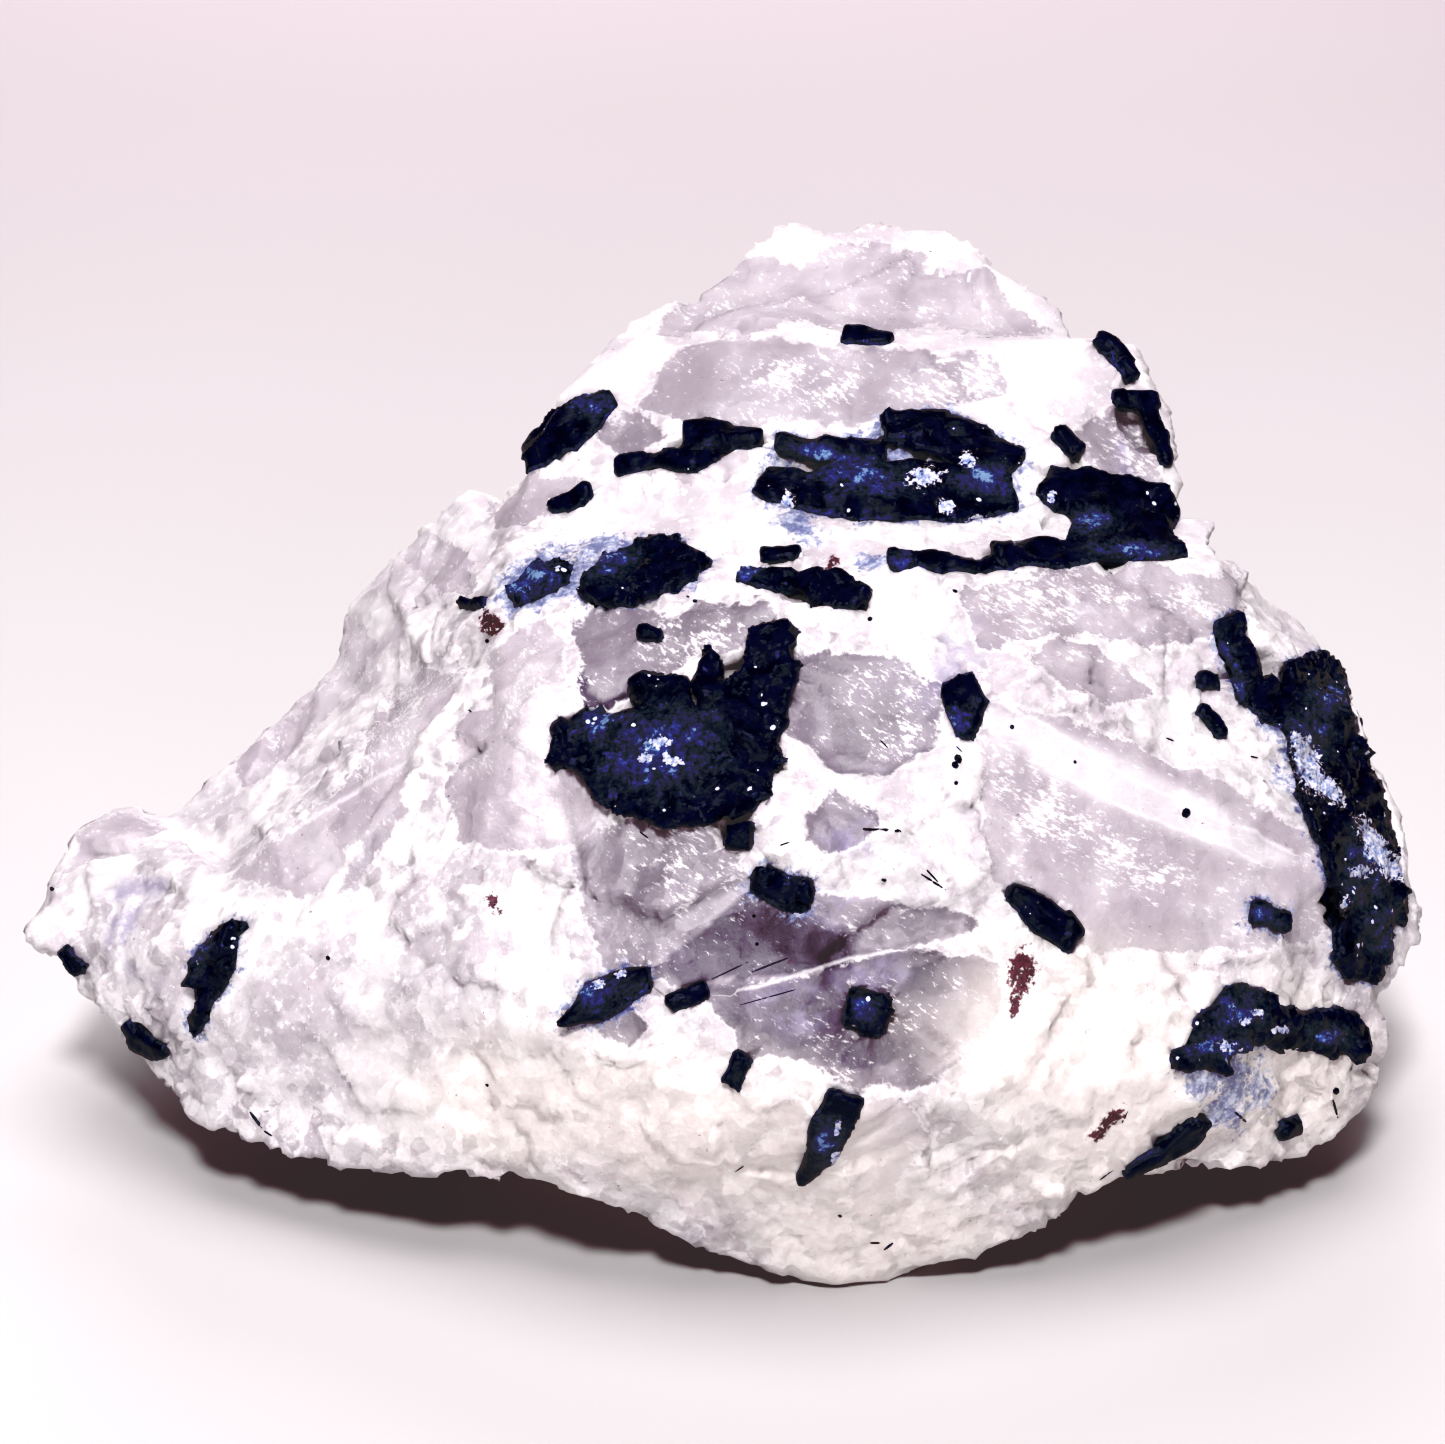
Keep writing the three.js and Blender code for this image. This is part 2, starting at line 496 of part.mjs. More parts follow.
function stone() {
  const random = numbersFrom(STONE_SEED);
  const block = unbrokenBlock();
  const onFaces = facePlaces(block, FACE_SCARS.spacing, random);
  const flaked = scarred(block, onFaces, FACE_SCARS, random);
  const onRidges = ridgePlaces(flaked, RIDGE_SCARS.spacing, random);
  const chipped = scarred(flaked, onRidges, RIDGE_SCARS, random);
  return largest(hollowed(chipped, random).subtract(underRest())).asOriginal().simplify(SLIVER);
}

// The place on a solid that shows at [across, up], or at the solid's edge a little further in,
// with the slant of the surface round it
function placeSeen([across, up], view, sight) {
  const eye = view.near.clone().multiplyScalar(EYE_DISTANCE);
  const look = (a, u) => sight(eye, seen([a, u, 0], view).sub(eye).normalize())[0];
  const share = EDGE_STEPS.find((step) => look(across * step, up * step));
  const around = NORMAL_PLACES.map(([a, u]) =>
    look(across * share + a * NORMAL_REACH, up * share + u * NORMAL_REACH),
  );
  const normal = new THREE.Vector3();
  around.filter(Boolean).forEach((hit) => normal.add(hit.face.normal));
  return { point: around[0].point, normal: normal.normalize() };
}

function hollowed(solid, random) {
  const sight = sighter(solid);
  return HOLLOWS.reduce((left, { middle, radius, depth }) => {
    const bite = flake(placeSeen(middle, FRONT, sight), radius, depth, RIDGE_SCARS.edge, random);
    return left.subtract(bite);
  }, solid);
}

// The corners of a crystal's section at one stop on its strand
function section({ point, normal, width }, along, view, rise, random) {
  const side = normal.clone().cross(along).normalize();
  const shows = Math.hypot(side.dot(view.across), side.dot(view.up));
  const wide = width / Math.max(FORESHORTENING, shows);
  const root = ROOT[0] + ROOT[1] * width;
  const place = ([share, above, below]) =>
    point
      .clone()
      .addScaledVector(side, share * wide * between(random, UNEVEN))
      .addScaledVector(normal, above * rise + below * root);
  return Object.fromEntries(Object.entries(SECTION).map(([name, corner]) => [name, place(corner)]));
}

// Corners of the nub that ties the end of one length into the next
function nubOn(corners, along) {
  const middle = new THREE.Box3().setFromPoints(corners).getCenter(new THREE.Vector3());
  return corners.map((p) => middle.clone().lerp(p, NUB_SIZE).addScaledVector(along, NUB_REACH));
}

// One strand: the corners of each length between its stops, and of the space that it needs
function strand(path, view, sight, random) {
  const stops = path.map(([across, up, width]) => {
    return { ...placeSeen([across, up], view, sight), width };
  });
  const rings = stops.map((stop, i) => {
    const before = stops[Math.max(0, i - 1)].point;
    const after = stops[Math.min(stops.length - 1, i + 1)].point;
    const along = after.clone().sub(before).normalize();
    const corners = section(stop, along, view, between(random, RISE), random);
    const { left, right, root } = corners;
    const mouth = [left, right].map((p) => p.clone().addScaledVector(stop.normal, POCKET_MOUTH));
    const body = Object.values(corners);
    return { body, nub: nubOn(body, along), space: [left, right, root, ...mouth] };
  });
  const last = rings.length - 1;
  return {
    lengths: rings.slice(0, last).map((start, i) => {
      const end = rings[i + 1];
      return [...start.body, ...end.body, ...(i + 1 < last ? end.nub : [])];
    }),
    space: rings.flatMap(({ space }) => space),
  };
}

// The planes that bound a hull, each once
function planesOf(solid) {
  const planes = [];
  for (const { face, normal } of facesOf(solid)) {
    const plane = new THREE.Plane().setFromNormalAndCoplanarPoint(normal, face.a);
    const isSame = (other) =>
      other.normal.angleTo(normal) < SAME_PLANE &&
      Math.abs(other.constant - plane.constant) < SAME_PLANE;
    if (!planes.some(isSame)) planes.push(plane);
  }
  return planes;
}

// The hull of some corners with each of its faces moved out
function grown(points, gap) {
  const box = new THREE.Box3().setFromPoints(points).expandByScalar(POCKET_BLOCK * gap);
  const size = box.getSize(new THREE.Vector3());
  const centre = box.getCenter(new THREE.Vector3());
  const block = solidFrom(new THREE.BoxGeometry(...size).translate(...centre));
  return planesOf(hull(points)).reduce((left, { normal, constant }) => {
    return left.trimByPlane(normal.clone().negate().toArray(), constant - gap);
  }, block);
}

// A crystal of one or more strands grown together, and the pocket it needs
function crystal(strands, view, sight, random) {
  const parts = strands.map((path) => strand(path, view, sight, random));
  return {
    body: joined(parts.flatMap(({ lengths }) => lengths.map(hull))),
    pocket: joined(parts.map(({ space }) => grown(space, POCKET_GAP))),
  };
}

function meshOf(name, solid, look) {
  const mesh = new THREE.Mesh(geometryFrom(solid), new THREE.MeshStandardMaterial(look));
  mesh.name = name;
  return mesh;
}

// Every crystal of one view, seated on the stone before any pocket is cut
function crystalsSeen(named, view, sight, random) {
  return Object.entries(named).map(([name, strands]) => {
    return { name, ...crystal(strands, view, sight, random) };
  });
}

function assemble() {
  const random = numbersFrom(CRYSTAL_SEED);
  const blank = stone();
  const sight = sighter(blank);
  const crystals = [
    ...crystalsSeen(FRONT_CRYSTALS, FRONT, sight, random),
    ...Object.entries(HIDDEN_CRYSTALS).flatMap(([azimuth, named]) =>
      crystalsSeen(named, viewAxes(Number(azimuth)), sight, random),
    ),
  ];
  const quartz = largest(crystals.reduce((left, { pocket }) => left.subtract(pocket), blank));
  const specimen = new THREE.Group();
  specimen.name = "tourmalinated_quartz";
  specimen.add(meshOf("quartz", quartz, QUARTZ_LOOK));
  crystals.forEach(({ name, body }) => specimen.add(meshOf(name, body, TOURMALINE_LOOK)));
  const box = new THREE.Box3().setFromObject(specimen);
  const middle = box.getCenter(new THREE.Vector3());
  specimen.position.set(-middle.x, -middle.y, -box.min.z);
  return specimen;
}

export default assemble();
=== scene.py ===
"""A hand specimen of tourmalinated quartz: milky quartz with blue-black tourmaline crystals."""
import math

import bpy
import numpy as np
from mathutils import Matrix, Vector, noise
from mathutils.bvhtree import BVHTree
from mathutils.kdtree import KDTree


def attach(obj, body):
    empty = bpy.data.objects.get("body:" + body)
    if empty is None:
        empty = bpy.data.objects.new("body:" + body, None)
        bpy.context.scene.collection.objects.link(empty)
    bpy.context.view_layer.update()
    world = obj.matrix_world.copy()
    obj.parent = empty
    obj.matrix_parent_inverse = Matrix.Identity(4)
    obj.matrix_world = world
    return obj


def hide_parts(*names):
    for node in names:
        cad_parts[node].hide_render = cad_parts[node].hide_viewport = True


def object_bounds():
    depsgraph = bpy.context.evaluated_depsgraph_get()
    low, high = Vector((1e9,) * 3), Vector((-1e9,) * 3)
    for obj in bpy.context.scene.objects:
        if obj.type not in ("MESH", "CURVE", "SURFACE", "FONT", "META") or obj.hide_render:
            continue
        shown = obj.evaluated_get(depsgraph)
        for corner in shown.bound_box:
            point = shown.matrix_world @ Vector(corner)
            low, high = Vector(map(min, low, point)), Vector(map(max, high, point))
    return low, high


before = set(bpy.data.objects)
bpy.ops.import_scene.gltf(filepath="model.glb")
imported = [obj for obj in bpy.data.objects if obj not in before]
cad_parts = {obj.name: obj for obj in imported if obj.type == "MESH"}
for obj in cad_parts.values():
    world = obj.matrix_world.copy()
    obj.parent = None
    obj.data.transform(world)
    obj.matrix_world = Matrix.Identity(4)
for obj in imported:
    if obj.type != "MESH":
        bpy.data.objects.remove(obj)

CAD_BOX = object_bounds()

# Lengths are in millimetres, unless another unit is named; this is one in metres
MM = 0.001
BOX_LOW, BOX_HIGH = (np.array(corner) / MM for corner in CAD_BOX)

# The viewpoint that every picture position below is given from, in the photograph's pixels
PHOTO_WIDTH = 1445
PHOTO_MIDDLE = (722.5, 722)
PIXEL = 62 / 1400  # in the picture plane
EYE_ELEVATION = math.radians(25)
EYE_DISTANCE = 140
DATUM = np.array([-0.162, -6.955, 22.5])  # the picture plane's middle, in the row frame
UP = np.array([0, math.sin(EYE_ELEVATION), math.cos(EYE_ELEVATION)])
NEAR = np.array([0, -math.cos(EYE_ELEVATION), math.sin(EYE_ELEVATION)])
SENSOR = 36
FACING = (-0.1, 0.2)  # how much the skin faces the eye where marks begin, and are full

SEED = 5
TINY = 1e-9  # keeps a division from failing

# The cells that a surface is broken into, in layers: their size, slope and lift
SKIN_VOXEL = 0.3
SKIN_BREAKS = [(4.0, 0.18, 0.1), (1.7, 0.2, 0.04), (0.8, 0.14, 0.015)]
FACET_BREAKS = [(6.0, 0.1, 0.08), (2.0, 0.06, 0.02)]
CRYSTAL_VOXEL = 0.16
GRANULAR_BREAKS = [(1.1, 0.4, 0.06), (0.5, 0.22, 0.02)]
STRIATED_BREAKS = [(1.6, 0.12, 0.05)]
FEWEST_CELLS = 8
BORDER_SCALE = 0.9  # of the waves in the cells' borders, in cells
BORDER_STRAY = 0.3  # how far the borders stray, in cells

# The quartz's skin
SMOOTHING = (2, 0.4)  # how many times, and each time that share of the way to the neighbours' middle
SHRINK = 0.05  # how far the skin lies inside its solid
FACET_EDGE = (-0.3, 0.4)  # how far inside a clear facet its smoothness begins, and is full
EDGE = 0.3  # half the width of other soft borders
FACET_SINK = 0.14  # how far clear facets lie lower
FACET_CALM = 0.8  # how much smoother they are
SOFT_CALM = 0.6  # how much smoother the worn parts are
CREST_HEIGHT = 0.1
CREST_REACH = 0.5
# In pixels: how near one of the crests its painted highlight line begins, and is full, how softly a step
# ends, how far from its edge its rise begins, and is full, and half the edge's width
CREST_NEAR = (30, 12)
TERRACE_ENDS = 20
TERRACE_REACH = (110, 20)
TERRACE_EDGE = 6
REST_RISE = (0.1, 1.2)  # heights at which the flat resting face ends, and the skin is uneven
CRYSTAL_SEARCH = 2.5  # how far from the skin crystals are looked for
NOTHING_NEAR = 9.0  # a distance out of reach
CRYSTAL_CALM = (0.3, 1.2)  # how near a crystal the skin is calm, and how far off it is uneven
LEAST_UNEVEN = 0.35  # share of it that is left at a crystal
CLOUD_NOISE = (0.35, 3.0)  # scale and shift
CLOUD_STRAY = 30  # how far a cloud's border strays, in pixels

# What the skin's attributes hold, and where Blender keeps their values
SKIN_ATTRIBUTES = {
    "zones": ("depth", "dark", "smoky", "soft"),
    "marks": ("haze", "stain", "cream", "glints"),
    "lines": ("crest", "crest_near", "violet", "ridge"),
}
ATTRIBUTE_FIELDS = {"FLOAT_COLOR": "color", "FLOAT_VECTOR": "vector"}

# Facets and marks on the sides that the photograph doesn't show
HIDDEN_NOISE = (0.13, 7.0)
HIDDEN_LEVEL = 0.08  # of the noise, above which there is a clear facet
HIDDEN_DEPTH = 7
HIDDEN_TONE = (0.3, 0.9)  # a facet's least tone, and how much more the noise adds
# Painted bounce light and painted glinting flecks on those sides
HIDDEN_CREAM = 0.25
HIDDEN_GLINTS = 0.5
MOST_DEPTH = 3
TONE_RANGE = (0.3, 0.65)  # the facets' least tone, and from there to the darkest

# The crystals
SWELL = 0.08  # how much fuller they are than their solids
BEND_SCALE = 0.75
BEND = (0.08, 0.06, 0.3)  # how far they are bent: at least, more by this share of the width, at most
RIB_HEIGHT = 0.16
RIB_LIE = np.array([0.12, 1.6, 1.6])  # how close ribs are along the crystal and across it
STRIPE_LIE = np.array([0.25, 3.0, 3.0])  # and the finer striations
RIM = (0.45, 0.05)  # how near the quartz a crystal's rim begins, and is full
CLOSE_UP = (0.45, 0.85)  # quartz nearer a crystal than this is moved up to it, and farther stays
CLOSE_SINK = 0.04  # how far it goes in
HALO_SHARE = 0.8

# Needles and specks
NEEDLE_STOPS = 5
NEEDLE_SIDES = 4
NEEDLE_HALF = 0.5  # of the width, from its middle to a side
NEEDLE_TIP = 0.25  # and at its ends
NEEDLE_FLATNESS = 0.6
NEEDLE_LIFT = 0.1
SPECK_REACH = 9  # half a speck's length, in pixels to each millimetre of its width
SPECK_SLOPE = 2  # how far its end lies lower, in pixels

ALBEDO = 0.52  # how much of its colour each surface gives back under the strong lamps
COLOURS = {
    "milk in shade": (0.66, 0.615, 0.655), "milk": (0.87, 0.845, 0.86), "sugar": (0.95, 0.93, 0.95),
    "pit": (0.52, 0.45, 0.53), "glass in shade": (0.6, 0.55, 0.6), "glass": (0.77, 0.725, 0.765),
    "dark glass in shade": (0.072, 0.058, 0.095), "dark glass": (0.18, 0.15, 0.21),
    "ridge": (0.89, 0.85, 0.89), "painted_sparkle": (0.98, 0.96, 0.98), "crest": (0.97, 0.94, 0.97),
    "rim": (0.97, 0.94, 0.97), "cream in shade": (0.88, 0.8, 0.755), "cream": (0.95, 0.91, 0.865),
    "violet": (0.36, 0.32, 0.48), "smoke_and_shade": (0.075, 0.062, 0.095), "blue haze": (0.08, 0.12, 0.32),
    "pale haze": (0.6, 0.65, 0.82), "rust": (0.028, 0.006, 0.015), "pale rust": (0.16, 0.055, 0.085),
    "glow": (1.0, 0.93, 0.9), "black": (0.0004, 0.0005, 0.009), "blue-black": (0.0025, 0.003, 0.046),
    "dark blue": (0.012, 0.021, 0.074), "blue": (0.06, 0.105, 0.215), "light blue": (0.27, 0.37, 0.54),
    "fringe": (0.055, 0.09, 0.2), "glint": (0.8, 0.84, 0.98), "blue pane": (0.3, 0.37, 0.6),
    "white pane": (0.8, 0.8, 0.88), "gloss": (0.3, 0.42, 1.0), "floor far": (0.42, 0.388, 0.402),
    "floor near": (0.395, 0.389, 0.391), "floor glow": (1.0, 0.96, 0.97), "room": (1.0, 0.42, 0.36),
}
# How much of a colour is laid over the rest where it is marked
SHARES = {
    "ridge": 0.8, "painted_sparkle": 0.8, "cream": 0.7, "violet": 0.7, "smoke_and_shade": 0.85, "rim": 0.6, "crest": 0.6,
    "haze": 0.8, "pit": 0.35,
}
# Noises: how many waves to the millimetre, octaves, roughness
NOISES = {
    "veil": (0.3, 4, 0.55), "mottle": (0.9, 6, 0.65), "sugar": (2.2, 6, 0.75), "fine": (4.0, 5, 0.7),
    "ripple": (2.6, 4, 0.75), "cluster": (0.6, 3, 0.6), "quartz relief": (2.2, 7, 0.66),
    "cloud": (1.3, 5, 0.65), "flecks": (4.5, 4, 0.7), "gathering": (0.8, 2, 0.5),
    "striations": (1.0, 4, 0.7), "tourmaline relief": (4.0, 5, 0.7),
}
# Cells: how many to the millimetre, and how far their borders stray
LARGE_CELLS = (0.42, 0.5)
SMALL_CELLS = (1.5, 0.6)
GRAIN_CELLS = (1.7, 0.4)
CELL_BORDERS = 1.4  # waves in the borders to each cell
CELL_DETAIL = 4.0
SPARK_CELLS = 3.0
# From where to where each mark goes from nothing to full
LEVELS = {
    "clear": (-0.04, 0.1), "rim": (0.14, 0.03), "milk": (0.36, 0.54), "sugar": (0.565, 0.60),
    "pit": (0.43, 0.40), "glass": (0.38, 0.62), "painted_sparkle": (0.61, 0.66), "cream": (0.4, 0.6),
    "violet": (0.42, 0.58), "smoke_and_shade": (0.35, 0.75), "crest": (0.14, 0.03), "pale haze": (0.37, 0.53),
    "haze": (0.36, 0.52), "haze near": (0.02, 0.2), "pale rust": (0.42, 0.56), "rust": (0.55, 0.75),
    "blue-black": (0.45, 0.6), "dark blue": (0.36, 0.7), "blue": (0.64, 0.98), "light blue": (1.1, 1.26),
    "fringe": (0.72, 0.98), "gathered": (1.12, 1.37), "glint": (0.0, 0.05), "white pane": (0.44, 0.56),
    "pane": (0.5, 0.62), "floor near": (250, 50), "floor glow": (190, 520),
}
# How much each of the noises that it is given sways it before that
SWAYS = {
    "clear": (1.3, 0.5), "milk": (0.22, 0.16, 0.8), "glass": (0.16,), "painted_sparkle": (0.5,), "smoke_and_shade": (1.6,),
    "crest": (0.5,), "haze": (2.0, 1.6), "rust": (3.4,), "blue": (1.9, 1.5), "fringe": (2.6,),
    "gathered": (2.2,), "pane": (0.9, 2.2),
}
QUARTZ_IOR = 1.544
TOURMALINE_IOR = 1.62
FACET_LIE = (0, math.radians(-27), 0)  # of the ripples on the right facet, and how they are drawn out
FACET_DRAWN = (0.8, 1.0, 2.8)
# Bumps: depth, strength
BUMPS = {
    "quartz": (0.12, 0.6), "ripple": (0.5, 1.0), "striations": (0.12, 0.7), "tourmaline": (0.05, 0.5),
}
LARGE_LEAN = 0.16  # how far the quartz's large cells lean
SMALL_LEAN = (0.55, 0.16)  # and its small ones, in milky and in clear parts
CRYSTAL_LEAN = 0.1  # and those on crystals
GRAIN_LEAN = 0.45  # and how much more on granular ones
ROUGHNESS = (0.5, 0.2)  # of milky and of clear parts
DARK_ROUGH = 0.3  # more in dark facets
COAT = 0.22  # of gloss
# A faint painted glow over the quartz, standing in for light passing through it, and more where bounce light
# is painted
GLOW = 0.04
CREAM_GLOW = 0.07
SOFT_DULLS = 0.75  # how much fainter relief is in worn parts
SOFT_DARKENS = 0.06
# Painted bounce light lightens the milky tone by this much
CREAM_LIGHTENS = 0.08
GLINTS_ADD = 0.1  # to the ripples, in painted highlights
HAZE_DEEPENS = 0.1
HAZE_SPREADS = 0.72
SPARK_REACH = 0.46  # of the largest painted highlights on a crystal, in cells
GRAINS_GLINT = 0.12  # how much more likely granular crystals are to carry a painted highlight

# The studio, in metres and watts
FLOOR_REACH = 2.5
FLOOR_MIDDLE = (0, 100, 0)  # of the part that doesn't glow, in millimetres
FLOOR_GLOW = 0.8
ROOM_LIGHT = 0.03
STONE_MIDDLE = (0, 0, 0.015)
SKY_TINT = (1, 0.95, 0.98)
KEY_TINT = (1, 0.97, 0.98)
# Lamps: place, target, size, power, tint, and whether it glints
LAMPS = {
    "overhead": ((0, 0, 0.5), STONE_MIDDLE, 0.35, 2.8, SKY_TINT, False),
    "far": ((0, 0.6, 0.55), (0, 0.4, 0), 0.4, 3.3, SKY_TINT, False),
    "low": ((0.03, -0.55, 0.04), STONE_MIDDLE, 0.2, 2.7, SKY_TINT, True),
    "rear": ((-0.05, 0.6, 0.16), STONE_MIDDLE, 0.3, 2.9, SKY_TINT, False),
    "key": ((-0.02, -0.20, 0.31), STONE_MIDDLE, 0.06, 1.7, KEY_TINT, True),
}
CLIP = (0.01, 10)  # the camera's
GAMMA = 0.78
# The view's curve: tones and what they become, and what the shadows' red, green and blue become
TONES = [(0.04, 0.036), (0.32, 0.27), (0.5, 0.48)]
SHADOW = 0.14
SHADOW_TONES = (0.08, 0.056, 0.060)

# The flat fracture on the right, by its outline in the photograph
RIGHT_FACET = [
    (979, 779), (985, 830), (991, 877), (1030, 925), (1081, 953), (1200, 955), (1308, 945), (1350, 900),
    (1328, 850), (1230, 790), (1127, 741), (1050, 715), (991, 700),
]
# Smooth clear facets in the milky quartz, small ones before the large ones round them: how dark each
# shows, and its outline
FACETS = [
    (0.35, [(455, 720), (500, 700), (545, 735), (548, 765), (590, 775), (612, 818), (585, 843), (505, 852),
        (455, 838), (442, 790)]),
    (0.64, [(580, 853), (620, 827), (660, 833), (653, 863), (633, 890), (610, 897), (600, 880)]),
    (0.68, [(656, 865), (665, 837), (707, 840), (722, 860), (737, 890), (713, 903), (707, 923), (690, 940),
        (653, 960), (620, 962), (617, 947), (630, 925), (613, 900)]),
    (0.88, [(650, 973), (697, 933), (720, 915), (740, 892), (757, 900), (790, 918), (837, 923), (863, 940),
        (837, 960), (803, 973), (740, 979)]),
    (0.8, [(710, 982), (803, 978), (850, 962), (866, 946), (889, 955), (902, 975), (887, 1000), (850, 987),
        (843, 1013), (853, 1033), (820, 1043), (787, 1050), (753, 1043), (730, 1020)]),
    (0.9, [(897, 1002), (913, 967), (940, 955), (987, 957), (1004, 977), (1003, 1005), (985, 1030),
        (960, 1053), (930, 1084), (908, 1087), (895, 1060), (853, 1070), (838, 1060), (857, 1037),
        (893, 1020)]),
    (0.7, [(580, 1027), (633, 1010), (647, 1027), (627, 1050), (610, 1042)]),
    (0.7, [(803, 910), (850, 898), (903, 905), (953, 912), (990, 918), (967, 933), (920, 942), (887, 950),
        (863, 938), (837, 921)]),
    (0.72, [(807, 813), (833, 790), (863, 803), (890, 820), (863, 842), (827, 857), (803, 840)]),
    (0.25, [(853, 1095), (900, 1093), (917, 1113), (930, 1137), (913, 1170), (893, 1195), (883, 1222),
        (853, 1225), (848, 1177)]),
    (0.4, [(740, 1165), (773, 1110), (803, 1095), (797, 1120), (767, 1145)]),
    (0.3, [(486, 650), (540, 612), (566, 640), (566, 690), (585, 720), (560, 760), (520, 740), (490, 705)]),
    (0.35, [(660, 470), (700, 462), (752, 458), (740, 478), (690, 486), (650, 482)]),
    (0.42, [(655, 332), (700, 275), (758, 250), (800, 262), (838, 238), (905, 244), (950, 268), (985, 262),
        (1012, 300), (1052, 330), (985, 336), (930, 322), (880, 340), (800, 322), (742, 340)]),
    (0.38, RIGHT_FACET),
    (0.72, [(797, 650), (887, 650), (915, 667), (940, 690), (933, 747), (887, 775), (837, 775), (813, 750),
        (787, 730), (790, 690)]),
    (0.68, [(567, 620), (633, 600), (673, 610), (703, 592), (753, 599), (803, 615), (806, 645), (760, 655),
        (700, 645), (640, 692), (590, 690)]),
    (1.0, [(578, 663), (637, 652), (645, 677), (622, 699), (587, 702), (568, 682)]),
    (0.5, [(640, 405), (660, 360), (700, 342), (790, 336), (860, 352), (1000, 345), (1005, 395), (900, 412),
        (850, 425), (780, 420), (700, 430)]),
    (0.6, [(598, 440), (633, 405), (675, 438), (620, 455)]),
    (0.4, [(485, 497), (503, 475), (553, 473), (593, 476), (603, 492), (547, 519), (495, 530)]),
    (0.55, [(1073, 440), (1093, 407), (1143, 417), (1160, 470), (1140, 486), (1113, 492), (1093, 477)]),
    (0.45, [(957, 585), (1047, 572), (1160, 569), (1233, 575), (1252, 607), (1222, 615), (1207, 640),
        (1147, 650), (1093, 630), (1027, 642), (977, 649), (968, 613)]),
    (0.4, [(1023, 663), (1060, 632), (1100, 642), (1137, 667), (1150, 697), (1113, 709), (1060, 692)]),
    (0.35, [(472, 668), (408, 668), (376, 704), (360, 760), (320, 800), (290, 830), (228, 878), (300, 898),
        (332, 882), (350, 850), (400, 802), (418, 740), (442, 710)]),
    (0.5, [(332, 894), (360, 834), (400, 790), (406, 812), (384, 842), (354, 892)]),
    (0.35, [(228, 762), (260, 736), (344, 670), (344, 612), (378, 640), (360, 682), (280, 762), (246, 788)]),
    (0.3, [(124, 806), (174, 826), (152, 842), (80, 862), (54, 886), (80, 828)]),
    (0.35, [(400, 560), (408, 518), (470, 552), (474, 598), (440, 594)]),
    (0.75, [(700, 985), (745, 1052), (800, 1062), (838, 1076), (900, 1092), (935, 1086), (992, 1036),
        (1006, 1000), (1003, 960), (940, 950), (890, 946), (850, 962), (803, 977), (740, 984)]),
    (0.58, [(562, 842), (620, 822), (704, 834), (738, 868), (790, 890), (850, 894), (950, 909), (992, 918),
        (960, 937), (890, 956), (800, 977), (740, 986), (690, 986), (640, 976), (600, 962), (584, 920),
        (574, 880)]),
]
# Soft clouds: (x, y, reach along, reach across, turn in degrees)
# Painted bounce light: warm clouds on the underside, standing in for light thrown up from the floor
CREAM_BOUNCE = [
    (1080, 1050, 150, 100, 0), (1250, 1080, 120, 90, 0), (700, 1130, 260, 70, 12), (880, 1230, 130, 60, 0),
    (560, 1110, 160, 60, 0), (1150, 1130, 160, 60, -15),
]
# Dark quartz in a hollow: partly the quartz's own dusky colour, partly painted shade where the hollow lies in
# shadow
SMOKY_SHADE = [(815, 948, 48, 20, 8), (782, 912, 26, 34, 30)]
VIOLET = [
    (118, 925, 28, 20, -20), (140, 975, 22, 14, 10), (105, 945, 18, 12, 0), (150, 900, 26, 12, -10),
    (853, 838, 34, 18, 0), (825, 905, 30, 22, 0), (868, 975, 26, 26, 0), (770, 800, 16, 9, 0),
    (960, 680, 40, 50, 0), (1130, 458, 12, 20, 0), (790, 1010, 40, 26, 0),
]
STAINS = [
    (1022, 972, 15, 22, 8), (1016, 1004, 6, 16, 10), (1112, 1120, 18, 8, -35), (1100, 1134, 10, 8, 0),
    (490, 624, 10, 12, 0), (832, 562, 5, 9, 20), (492, 902, 12, 5, 60),
]

# Crests where facets meet, lifted and with a painted highlight line on them, and dark needles in the quartz:
# each from point to point
CRESTS = [
    [(1003, 705), (1060, 735), (1113, 767), (1147, 787), (1200, 810), (1253, 833), (1290, 852)],
    [(1037, 762), (1127, 808), (1227, 847), (1262, 862)],
    [(740, 991), (803, 974), (853, 957), (895, 950)],
    [(897, 1090), (920, 1107), (930, 1125)],
    [(476, 672), (440, 716), (404, 760), (360, 784), (260, 852), (224, 876)],
    [(453, 680), (503, 640), (530, 613)],
]
NEEDLES = [
    ((863, 829), (909, 831), 0.16), ((700, 985), (748, 962), 0.05), ((752, 972), (788, 958), 0.07),
    ((1166, 738), (1174, 741), 0.08), ((1249, 756), (1258, 758), 0.08), ((1122, 1123), (1128, 1111), 0.06),
    ((921, 874), (946, 890), 0.1), ((925, 868), (938, 882), 0.08), ((953, 743), (962, 752), 0.08),
    ((870, 1243), (880, 1243), 0.1), ((884, 1250), (893, 1243), 0.12), ((880, 740), (888, 748), 0.07),
    ((735, 1172), (744, 1166), 0.05), ((640, 832), (648, 838), 0.06), ((250, 1112), (262, 1128), 0.16),
    ((264, 1131), (272, 1136), 0.1), ((740, 1005), (812, 985), 0.04), ((1100, 1180), (1118, 1166), 0.1),
    ((1235, 1112), (1246, 1122), 0.12), ((1333, 1100), (1338, 1118), 0.12), ((52, 1012), (56, 1018), 0.16),
    ((92, 1050), (97, 1056), 0.16), ((778, 846), (790, 842), 0.06),
]
